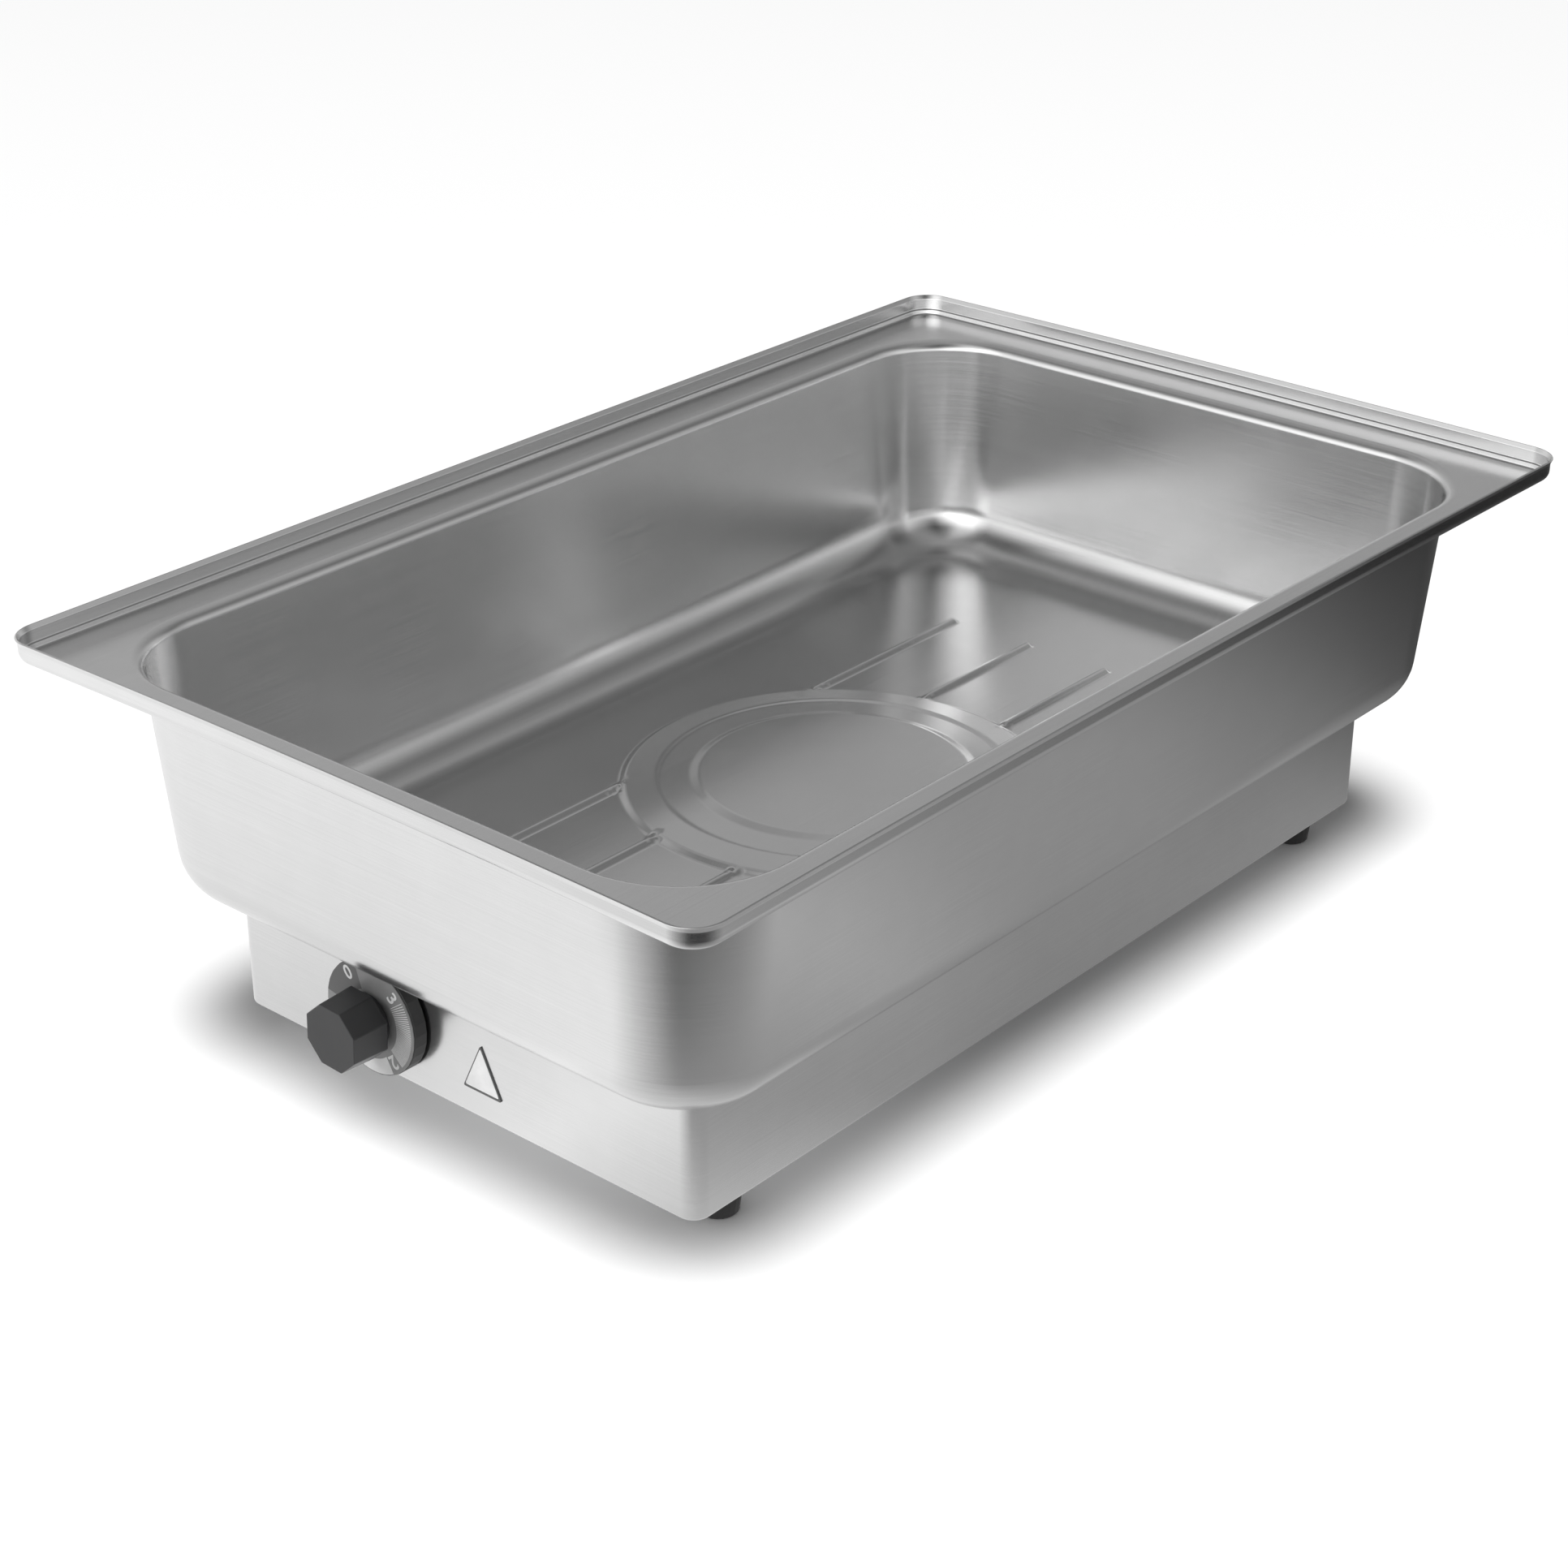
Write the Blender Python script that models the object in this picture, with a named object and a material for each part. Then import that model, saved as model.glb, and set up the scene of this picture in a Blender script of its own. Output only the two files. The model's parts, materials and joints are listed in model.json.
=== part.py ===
"""Electric steam table unit: a gastronorm water pan standing on a heated base.

Metres, +Z up. The origin is the centre of the footprint at the underside of the feet.
The control knob is at the front, which faces -Y. The pan's long sides run along Y.
"""

import math

import bmesh
import bpy
from mathutils import Matrix, Vector

MM = 0.001
GAP = 0.3 * MM  # clearance between pieces that touch

# Overall size
HEIGHT = 176.5 * MM
RIM_X = 177.0 * MM  # half the rim's width
RIM_Y = 280.0 * MM  # half the rim's length
SHEET = 1.0 * MM

# Pan: depths are measured down from the rim's top
RIM_CORNER = 14.0 * MM
FLANGE_DEPTH = 9.2 * MM
WELL_CORNER = 46.0 * MM
WELL_EDGE = 19.1 * MM  # from the rim's outer edge to the start of the well's rolled edge
EDGE_BEND = 5.0 * MM
WALL_DRAFT = math.radians(5.4)
FLOOR_BEND = 21.8 * MM
FLOOR_DEPTH = 110.2 * MM
FLOOR_Z = HEIGHT - FLOOR_DEPTH
PAN_UNDER = FLOOR_Z - SHEET

# Raised heating platform pressed into the floor: (radius, height above the floor)
PLATFORM = [(84.0 * MM, 0.0), (81.5 * MM, 2.6 * MM), (71.0 * MM, 2.8 * MM), (57.6 * MM, 5.2 * MM)]
PLATFORM_UNDER = PAN_UNDER + PLATFORM[-1][1]

# Stiffening beads pressed into the floor on both sides of the platform
BEAD_X = (-65.0 * MM, -21.7 * MM, 21.7 * MM, 65.0 * MM)
BEAD_END = 168.0 * MM
BEAD_WIDTH = 7.0 * MM
BEAD_HEIGHT = 1.8 * MM

# Base casing
CASING_X = 121.8 * MM
CASING_Y = 222.3 * MM
CASING_CORNER = 7.5 * MM
CASING_LOW = 13.1 * MM
CASING_TOP = PAN_UNDER - GAP
TOP_FLANGE = 16.0 * MM
LOW_FLANGE = 24.0 * MM
PLATE_LOW = CASING_LOW + SHEET + GAP
PLATE_TOP = PLATE_LOW + SHEET
ON_PLATE = PLATE_TOP + GAP
STUD_X = CASING_X - 9.0 * MM  # weld studs that hold the casing up to the pan
STUD_Y = 120.0 * MM

# Feet
FOOT_X = 107.3 * MM
FOOT_Y = 193.8 * MM
FOOT_TOP_R = 9.3 * MM
FOOT_LOW_R = 7.8 * MM
SIDES = {"left": -1, "right": 1}
ENDS = {"front": -1, "rear": 1}

# Metric fasteners: (shank radius, nut height, nut half-width across corners)
M4 = (2.0 * MM, 3.2 * MM, 4.04 * MM)
M5 = (2.4 * MM, 4.0 * MM, 4.62 * MM)
M6 = (3.0 * MM, 5.0 * MM, 5.77 * MM)
HOLE = 0.4 * MM  # clearance of a hole round a shank

# Control: depths are measured forward from the casing's front face
KNOB_X = -37.7 * MM
KNOB_Z = 40.75 * MM
SHAFT_R = 3.0 * MM
DIAL_R = 24.15 * MM
SKIRT_BACK = 1.1 * MM
SKIRT_FRONT = 7.0 * MM
DIAL_FRONT = 7.7 * MM
GRIP_BACK = 11.5 * MM
GRIP_FRONT = 28.1 * MM
GRIP_R = 14.2 * MM  # to the corners of the octagon
GRIP_TURN = math.radians(19.7)  # angle of its first corner from +X, seen from the front
CONTROL_SCREW = 14.0 * MM  # from the shaft's axis
THERMOSTAT_FRONT = -CASING_Y + SHEET + GAP
THERMOSTAT_BACK = THERMOSTAT_FRONT + 25.0 * MM
THERMOSTAT_HALF = (19.0 * MM, 15.0 * MM)  # across and up

# Heater, under the platform
SPREADER_R = 55.0 * MM
SPREADER_THICK = 2.8 * MM
SPREADER_LOW = PLATFORM_UNDER - GAP - SPREADER_THICK
ELEMENT_R = 4.0 * MM
ELEMENT_LOOP = 38.0 * MM
ELEMENT_Z = SPREADER_LOW - GAP - ELEMENT_R
ELEMENT_LEG_X = 12.0 * MM
ELEMENT_LEG_Z = ELEMENT_Z - 6.0 * MM  # the legs dip under the floor beyond the platform
ELEMENT_LEG_END = -105.0 * MM
CLAMP_TOP = ELEMENT_Z - ELEMENT_R - GAP
CLAMP_THICK = 2.0 * MM
SHIELD_LOW = 40.0 * MM
SHIELD_HALF = 62.0 * MM
PAD_R = 52.0 * MM
PAD_HOLE = 9.0 * MM
PAD_THICK = 8.0 * MM
SPACER_Y = 50.0 * MM
PIN_END = 15.0 * MM  # from the end of the element's leg to the tip of its pin

# Temperature sensing, under the floor
BULB_R = 3.0 * MM
BULB_X = -64.0 * MM
BULB_Z = PAN_UNDER - BULB_R - 1.5 * MM
BULB_START = 70.0 * MM
BULB_END = 130.0 * MM
CAPILLARY_R = 0.9 * MM
CUTOUT_Y = 112.0 * MM
CUTOUT_TALL = 11.0 * MM

# Mains side, at the rear
GLAND_X = 60.0 * MM
GLAND_Z = 38.0 * MM
BORE_R = 4.0 * MM
BLOCK_Y = 178.0 * MM
BLOCK_HALF = (18.0 * MM, 9.0 * MM)  # across and along
BLOCK_TOP = 33.0 * MM
POLE = 11.0 * MM  # from one terminal to the next
TERMINAL_Z = 24.0 * MM
EARTH_X = GLAND_X + 8.0 * MM
EARTH_Y = 142.0 * MM
LEAD_R = 1.5 * MM


# ---------------------------------------------------------------- tools


def material(name, colour, roughness, metallic):
    made = bpy.data.materials.new(name)
    made.use_nodes = True
    shader = made.node_tree.nodes["Principled BSDF"]
    shader.inputs["Base Color"].default_value = (*colour, 1.0)
    shader.inputs["Roughness"].default_value = roughness
    shader.inputs["Metallic"].default_value = metallic
    return made


def add_mesh(name, vertices, faces, finish, smooth_angle=30):
    """One object whose faces are made to point outwards."""
    mesh = bpy.data.meshes.new(name)
    mesh.from_pydata([tuple(v) for v in vertices], [], faces)
    work = bmesh.new()
    work.from_mesh(mesh)
    bmesh.ops.recalc_face_normals(work, faces=work.faces)
    work.to_mesh(mesh)
    work.free()
    mesh.shade_smooth()
    mesh.set_sharp_from_angle(angle=math.radians(smooth_angle))
    mesh.materials.append(finish)
    piece = bpy.data.objects.new(name, mesh)
    bpy.context.collection.objects.link(piece)
    return piece


def loft(name, rings, finish, closed=False, smooth_angle=30):
    """Skin through rings of equal point counts, with filled ends or closed on itself."""
    count = len(rings[0])
    vertices = [point for ring in rings for point in ring]
    faces = []
    spans = len(rings) if closed else len(rings) - 1
    for i in range(spans):
        low, high = i * count, ((i + 1) % len(rings)) * count
        for k in range(count):
            after = (k + 1) % count
            faces.append((low + k, low + after, high + after, high + k))
    if not closed:
        faces.append(tuple(range(count)))
        faces.append(tuple(range(len(vertices) - count, len(vertices))))
    return add_mesh(name, vertices, faces, finish, smooth_angle)


def rounded_rectangle(half_x, half_y, radius, z, steps):
    points = []
    for corner in range(4):
        sx = 1 if corner in (0, 3) else -1
        sy = 1 if corner in (0, 1) else -1
        for i in range(steps + 1):
            angle = math.radians(90 * corner + 90 * i / steps)
            x = sx * (half_x - radius) + radius * math.cos(angle)
            y = sy * (half_y - radius) + radius * math.sin(angle)
            points.append(Vector((x, y, z)))
    return points


def circle(radius, z, count, turn=0.0):
    angles = [turn + 2 * math.pi * i / count for i in range(count)]
    return [Vector((radius * math.cos(a), radius * math.sin(a), z)) for a in angles]


def octagon(radius, z, turn, per_side=3):
    corners = circle(radius, z, 8, turn)
    points = []
    for i, corner in enumerate(corners):
        for k in range(per_side):
            points.append(corner.lerp(corners[(i + 1) % 8], k / per_side))
    return points


def arc(centre, radius, start, end, steps):
    """Points of an arc in the section plane, angles in degrees."""
    points = []
    for i in range(steps + 1):
        angle = math.radians(start + (end - start) * i / steps)
        points.append((centre[0] + radius * math.cos(angle), centre[1] + radius * math.sin(angle)))
    return points


def turned(name, profile, finish, segments=24):
    """A ring turned about Z from a closed (radius, height) profile that misses the axis."""
    rings = [circle(radius, height, segments) for radius, height in profile]
    return loft(name, rings, finish, closed=True)


def solid_turned(name, profile, finish, segments=24):
    """A solid turned about Z: the profile runs from its low end to its high end."""
    rings = [circle(radius, height, segments) for radius, height in profile]
    return loft(name, rings, finish)


def block(name, low, high, finish, bevel=0.0):
    corners = [(low[0], low[1]), (high[0], low[1]), (high[0], high[1]), (low[0], high[1])]
    rings = [[Vector((x, y, z)) for x, y in corners] for z in (low[2], high[2])]
    piece = loft(name, rings, finish)
    if bevel:
        edge = piece.modifiers.new("edges", "BEVEL")
        edge.width = bevel
        edge.segments = 2
    return piece


def tube(name, points, radius, finish, sides=8):
    """A round tube along a line of points, with filled ends."""
    points = [Vector(p) for p in points]
    rings = []
    across = None
    for i, point in enumerate(points):
        along = (points[min(i + 1, len(points) - 1)] - points[max(i - 1, 0)]).normalized()
        if across is None:
            across = along.orthogonal().normalized()
        across = (across - along * across.dot(along)).normalized()
        up = along.cross(across)
        ring = []
        for k in range(sides):
            angle = 2 * math.pi * k / sides
            ring.append(point + (across * math.cos(angle) + up * math.sin(angle)) * radius)
        rings.append(ring)
    return loft(name, rings, finish, smooth_angle=60)


def smooth_route(stops, steps=6):
    """A smooth curve through the stops, whose pull at each stop fits the span's length."""
    stops = [Vector(s) for s in stops]
    last = len(stops) - 1
    headings = [(stops[min(i + 1, last)] - stops[max(i - 1, 0)]).normalized() for i in range(last + 1)]
    points = []
    for i in range(last):
        start, end = stops[i], stops[i + 1]
        span = (end - start).length
        for k in range(steps):
            t = k / steps
            point = start * (2 * t**3 - 3 * t**2 + 1) + end * (3 * t**2 - 2 * t**3)
            point += headings[i] * span * (t**3 - 2 * t**2 + t)
            point += headings[i + 1] * span * (t**3 - t**2)
            points.append(point)
    points.append(stops[-1])
    return points


def hexagon_ring(name, half_corner, hole, low, high, finish):
    """A nut: six flats outside, a round hole inside, with the same points round each."""
    count = 12
    outer_corners = circle(half_corner, 0.0, 6)
    outline = []
    for i, corner in enumerate(outer_corners):
        for k in range(count // 6):
            outline.append(corner.lerp(outer_corners[(i + 1) % 6], k / (count // 6)))
    hole_ring = circle(hole, 0.0, count)
    rings = []
    for ring, z in ((outline, low), (outline, high), (hole_ring, high), (hole_ring, low)):
        rings.append([Vector((p.x, p.y, z)) for p in ring])
    return loft(name, rings, finish, closed=True)


def place(piece, x, y, z=0.0):
    piece.location = (x, y, z)
    return piece


def face_front(piece, x, z, depth=0.0):
    """Turns a piece made along +Z so that it points forward out of the casing's front."""
    piece.matrix_world = Matrix.Translation((x, -CASING_Y - depth, z)) @ Matrix.Rotation(math.pi / 2, 4, "X")
    return piece


def face_rear(piece, x, z):
    """Turns a piece made along +Z so that it points backward out of the casing's rear."""
    piece.matrix_world = Matrix.Translation((x, CASING_Y, z)) @ Matrix.Rotation(-math.pi / 2, 4, "X")
    return piece


def cut(piece, cutter):
    """Takes the cutter's shape out of the piece."""
    cutter.hide_render = True
    cutter.display_type = "WIRE"
    change = piece.modifiers.new(cutter.name, "BOOLEAN")
    change.operation = "DIFFERENCE"
    change.object = cutter


def join(piece, other):
    """Adds the other object's shape to the piece, and keeps the other as a guide."""
    other.hide_render = True
    other.display_type = "WIRE"
    change = piece.modifiers.new(other.name, "BOOLEAN")
    change.operation = "UNION"
    change.object = other


def drill(piece, name, radius, low, high, x, y, z=0.0):
    """A vertical round hole."""
    cutter = solid_turned(name, [(radius, low), (radius, high)], piece.data.materials[0], 16)
    cut(piece, place(cutter, x, y, z))


# ---------------------------------------------------------------- pan


def pan_section():
    """The pan's closed section as (offset from the rim's edge, z, corner radius), floor to floor."""
    top = HEIGHT
    wall_top = WELL_EDGE + EDGE_BEND
    tangent = FLOOR_BEND * (1 - math.sin(WALL_DRAFT))
    wall_height = FLOOR_DEPTH - FLANGE_DEPTH - EDGE_BEND - tangent
    bend_at = wall_top + wall_height * math.tan(WALL_DRAFT) + FLOOR_BEND * math.cos(WALL_DRAFT)
    draft = math.degrees(WALL_DRAFT)

    inside = arc((bend_at, FLOOR_Z + FLOOR_BEND), FLOOR_BEND, 270, 180 + draft, 6)
    edge_centre = (WELL_EDGE, top - FLANGE_DEPTH - EDGE_BEND)
    inside += arc(edge_centre, EDGE_BEND, draft, 90, 4)
    rim_inner = [(3.4, -9.2), (3.2, -8.9), (2.9, -7.2), (2.0, -7.0), (1.9, -1.8), (1.1, -0.1)]
    rim_outer = [(0.7, 0.0), (0.0, -0.5), (0.9, -2.4), (0.9, -5.8)]
    inside += [(offset * MM, top + depth * MM) for offset, depth in rim_inner]

    bend = 4.4 * MM
    low = top - FLANGE_DEPTH - SHEET
    outside = [(offset * MM, top + depth * MM) for offset, depth in rim_outer]
    outside += arc((0.9 * MM + bend, low + bend), bend, 180, 270, 4)[1:]
    outside += arc(edge_centre, EDGE_BEND - SHEET, 90, draft, 4)
    outside += arc((bend_at, FLOOR_Z + FLOOR_BEND), FLOOR_BEND + SHEET, 180 + draft, 270, 6)

    section = []
    for offset, z in inside + outside:
        if offset < WELL_EDGE - 1.0 * MM:
            radius = max(RIM_CORNER - offset, 3.0 * MM)
        else:
            radius = max(WELL_CORNER + WELL_EDGE + EDGE_BEND - offset, 8.0 * MM)
        section.append((offset, z, radius))
    return section


def floor_circles(steps, lift):
    """The platform's rings, outermost first, each with the points of the pan's own rings."""
    count = 4 * (steps + 1)
    turn = math.pi / count
    rings = [circle(radius, lift + height, count, turn) for radius, height in PLATFORM]
    rings.append(circle(6.0 * MM, lift + PLATFORM[-1][1], count, turn))
    return rings


def water_pan(finish):
    steps = 7
    walls = [
        rounded_rectangle(RIM_X - offset, RIM_Y - offset, radius, z, steps)
        for offset, z, radius in pan_section()
    ]
    inside = floor_circles(steps, FLOOR_Z)[::-1]
    outside = floor_circles(steps, PAN_UNDER)
    pan = loft("water_pan", inside + walls + outside, finish, smooth_angle=35)
    for number, x in enumerate(BEAD_X):
        start = math.sqrt(PLATFORM[1][0] ** 2 - x * x) - 1.0 * MM  # just inside the platform's edge
        for end_name, sign in ENDS.items():
            bead = floor_bead(f"bead_{number}_{end_name}", x, sign * start, sign * BEAD_END, finish)
            join(pan, bead)
    return pan


def floor_bead(name, x, start, end, finish):
    """A low round-topped bead, sunk half a millimetre into the floor."""
    low, high = sorted((start, end))
    half = BEAD_WIDTH / 2
    section = [(-half, -0.5 * MM), (-half, 0.1 * MM), (-half / 2, BEAD_HEIGHT)]
    section += [(-u, v) for u, v in reversed(section)]
    rings = [[Vector((x + u, y, FLOOR_Z + v)) for u, v in section] for y in (low, high)]
    return loft(name, rings, finish)


# ---------------------------------------------------------------- casing and feet


def base_casing(finish):
    """A wall with a flange turned in at the top and at the bottom."""
    section = [
        (0.0, CASING_LOW),
        (0.0, CASING_TOP),
        (TOP_FLANGE, CASING_TOP),
        (TOP_FLANGE, CASING_TOP - SHEET),
        (SHEET, CASING_TOP - SHEET),
        (SHEET, CASING_LOW + SHEET),
        (LOW_FLANGE, CASING_LOW + SHEET),
        (LOW_FLANGE, CASING_LOW),
    ]
    rings = []
    for offset, z in section:
        radius = max(CASING_CORNER - offset, 2.0 * MM)
        rings.append(rounded_rectangle(CASING_X - offset, CASING_Y - offset, radius, z, 4))
    casing = loft("base_casing", rings, finish, closed=True)
    for side, sx in SIDES.items():
        for end, sy in ENDS.items():
            tag = f"{end}_{side}"
            x, y = sx * STUD_X, sy * STUD_Y
            drill(casing, f"stud_hole_{tag}", M5[0] + HOLE, CASING_TOP - 3 * MM, CASING_TOP + 3 * MM, x, y)
            x, y = sx * FOOT_X, sy * FOOT_Y
            drill(casing, f"foot_hole_{tag}", M4[0] + HOLE, CASING_LOW - 3 * MM, CASING_LOW + 3 * MM, x, y)
    through = (-3 * MM, 3 * MM)
    shaft_hole = solid_turned("shaft_hole", [(SHAFT_R + 0.5 * MM, z) for z in through], finish)
    cut(casing, face_front(shaft_hole, KNOB_X, KNOB_Z))
    for side, sx in SIDES.items():
        hole = solid_turned(f"control_hole_{side}", [(M4[0] + HOLE, z) for z in through], finish, 16)
        cut(casing, face_front(hole, KNOB_X + sx * CONTROL_SCREW, KNOB_Z))
    gland_hole = solid_turned("gland_hole", [(8.0 * MM, z) for z in through], finish)
    cut(casing, face_rear(gland_hole, GLAND_X, GLAND_Z))
    return casing


def bottom_plate(finish):
    inset = SHEET + 0.4 * MM
    rings = [
        rounded_rectangle(CASING_X - inset, CASING_Y - inset, CASING_CORNER - inset, z, 5)
        for z in (PLATE_LOW, PLATE_TOP)
    ]
    plate = loft("bottom_plate", rings, finish)
    for side, sx in SIDES.items():
        for end, sy in ENDS.items():
            low, high = PLATE_LOW - 2 * MM, PLATE_TOP + 2 * MM
            drill(plate, f"plate_hole_{end}_{side}", M4[0] + HOLE, low, high, sx * FOOT_X, sy * FOOT_Y)
    return plate


def foot_set(rubber, steel):
    """A rubber foot, the screw up through it, and the nut inside the bottom plate."""
    seat = 5.0 * MM
    top = CASING_LOW - GAP
    hole = M4[0] + HOLE
    profile = [
        (4.4 * MM, 0.0),
        (FOOT_LOW_R - 0.6 * MM, 0.0),
        (FOOT_LOW_R, 0.6 * MM),
        (FOOT_TOP_R, top),
        (hole, top),
        (hole, seat),
        (4.4 * MM, seat),
    ]
    for side, sx in SIDES.items():
        for end, sy in ENDS.items():
            tag, x, y = f"{end}_{side}", sx * FOOT_X, sy * FOOT_Y
            place(turned(f"rubber_foot_{tag}", profile, rubber, 20), x, y)
            screw = pan_head_screw(f"foot_screw_{tag}", 21.0 * MM - seat, steel)
            place(screw, x, y, seat - GAP)
            nut = hexagon_ring(f"foot_nut_{tag}", M4[2], hole, ON_PLATE, ON_PLATE + M4[1], steel)
            place(nut, x, y)


def pan_head_screw(name, length, finish):
    """An M4 screw along +Z: head below the origin, shank above it, a round driver recess."""
    head, head_r, recess = 2.5 * MM, 3.8 * MM, 1.2 * MM
    profile = [
        (recess, -head + 1.2 * MM),
        (recess, -head),
        (head_r - 0.8 * MM, -head),
        (head_r, -head + 0.9 * MM),
        (head_r, 0.0),
        (M4[0], 0.0),
        (M4[0], length),
    ]
    return solid_turned(name, profile, finish, 12)


def pan_studs(finish):
    """Weld studs under the pan, with the nuts that hold the casing's top flange up to it."""
    for side, sx in SIDES.items():
        for end, sy in ENDS.items():
            tag, x, y = f"{end}_{side}", sx * STUD_X, sy * STUD_Y
            top = PAN_UNDER - GAP
            stud = solid_turned(f"pan_stud_{tag}", [(M5[0], top - 13.0 * MM), (M5[0], top)], finish, 16)
            place(stud, x, y)
            nut_top = CASING_TOP - SHEET - GAP
            hole = M5[0] + HOLE
            nut = hexagon_ring(f"casing_nut_{tag}", M5[2], hole, nut_top - M5[1], nut_top, finish)
            place(nut, x, y)


# ---------------------------------------------------------------- control


def control(plastic, printed, steel, body_plastic):
    """Thermostat, shaft, and the dial and grip that turn on it."""
    axis = bpy.data.objects.new("knob_axis", None)
    axis.matrix_world = Matrix.Translation((KNOB_X, -CASING_Y, KNOB_Z)) @ Matrix.Rotation(math.pi / 2, 4, "X")
    bpy.context.collection.objects.link(axis)
    moving = [
        knob_grip(plastic),
        dial_skirt(plastic),
        turned("dial_plate", dial_plate_profile(), printed, 32),
        thermostat_shaft(steel),
    ]
    for piece in moving:
        piece.parent = axis
    thermostat_body(body_plastic)
    for side, sx in SIDES.items():
        screw = pan_head_screw(f"control_screw_{side}", 6.5 * MM, steel)
        spin = Matrix.Rotation(-math.pi / 2, 4, "X")
        x = KNOB_X + sx * CONTROL_SCREW
        screw.matrix_world = Matrix.Translation((x, -CASING_Y - GAP, KNOB_Z)) @ spin


def knob_grip(finish):
    """An eight-sided grip on a round hub, with a blind bore for the shaft."""
    bore = SHAFT_R + GAP
    hub_r, hub_back, bore_end = 11.5 * MM, DIAL_FRONT + GAP, 25.0 * MM
    round_turn = GRIP_TURN
    rings = [circle(bore, bore_end, 24, round_turn), circle(bore, hub_back, 24, round_turn)]
    rings += [circle(hub_r, z, 24, round_turn) for z in (hub_back, GRIP_BACK)]
    for radius, z in (
        (GRIP_R - 0.4 * MM, GRIP_BACK),
        (GRIP_R, GRIP_BACK + 0.4 * MM),
        (GRIP_R, GRIP_FRONT - 0.4 * MM),
        (GRIP_R - 0.4 * MM, GRIP_FRONT),
    ):
        rings.append(octagon(radius, z, GRIP_TURN))
    return loft("knob_grip", rings, finish)


def dial_skirt(finish):
    """A cup, open at the back, with a boss round the shaft."""
    wall, bore, boss = 2.0 * MM, SHAFT_R + GAP, 7.0 * MM
    inner = DIAL_R - wall
    floor = SKIRT_FRONT - wall
    profile = [
        (bore, SKIRT_FRONT),
        (DIAL_R - 0.3 * MM, SKIRT_FRONT),
        (DIAL_R, SKIRT_FRONT - 0.3 * MM),
        (DIAL_R, SKIRT_BACK),
        (inner, SKIRT_BACK),
        (inner, floor),
        (boss, floor),
        (boss, SKIRT_BACK + 0.5 * MM),
        (bore, SKIRT_BACK + 0.5 * MM),
    ]
    return turned("dial_skirt", profile, finish, 32)


def dial_plate_profile():
    back, outer, inner = SKIRT_FRONT + GAP, DIAL_R - 0.25 * MM, SHAFT_R + 1.2 * MM
    return [(inner, back), (inner, DIAL_FRONT), (outer, DIAL_FRONT), (outer, back)]


def thermostat_shaft(finish):
    """A round shaft with a flat on its outer end."""
    length = 24.3 * MM
    shaft = solid_turned("thermostat_shaft", [(SHAFT_R, -14.0 * MM), (SHAFT_R, length)], finish)
    flat = block("shaft_flat", (-5 * MM, 1.8 * MM, 9.0 * MM), (5 * MM, 5 * MM, 30 * MM), finish)
    axis = Matrix.Translation((KNOB_X, -CASING_Y, KNOB_Z)) @ Matrix.Rotation(math.pi / 2, 4, "X")
    flat.matrix_world = axis
    cut(shaft, flat)
    return shaft


def thermostat_body(finish):
    """The thermostat's case, with a pocket for the shaft and a hole for each screw."""
    across, up = THERMOSTAT_HALF
    low = (KNOB_X - across, THERMOSTAT_FRONT, KNOB_Z - up)
    high = (KNOB_X + across, THERMOSTAT_BACK, KNOB_Z + up)
    body = block("thermostat_body", low, high, finish)
    pocket = solid_turned("shaft_pocket", [(SHAFT_R + GAP, -16.0 * MM), (SHAFT_R + GAP, 0.0)], finish)
    cut(body, face_front(pocket, KNOB_X, KNOB_Z))
    for side, sx in SIDES.items():
        radius = M4[0] + HOLE
        hole = solid_turned(f"body_hole_{side}", [(radius, -8.0 * MM), (radius, 0.0)], finish, 16)
        cut(body, face_front(hole, KNOB_X + sx * CONTROL_SCREW, KNOB_Z))


def triangle_plate(finish):
    """A plain triangular plate beside the dial, with rounded corners."""
    centre_x, low, high, half = 14.8 * MM, 25.0 * MM, 46.6 * MM, 10.6 * MM
    corner = 0.8 * MM
    corners = [Vector((centre_x - half, low)), Vector((centre_x + half, low)), Vector((centre_x, high))]
    outline = []
    for i, point in enumerate(corners):
        to_last = (corners[i - 1] - point).normalized()
        to_next = (corners[(i + 1) % 3] - point).normalized()
        for t in (0.0, 0.25, 0.5, 0.75, 1.0):
            back, ahead = corner * 2 * (1 - t) ** 2, corner * 2 * t**2
            outline.append(point + to_last * back + to_next * ahead)
    back = -CASING_Y - GAP
    rings = [[Vector((p.x, y, p.y)) for p in outline] for y in (back, back - 1.0 * MM)]
    return loft("triangle_plate", rings, finish)


# ---------------------------------------------------------------- heater


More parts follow.
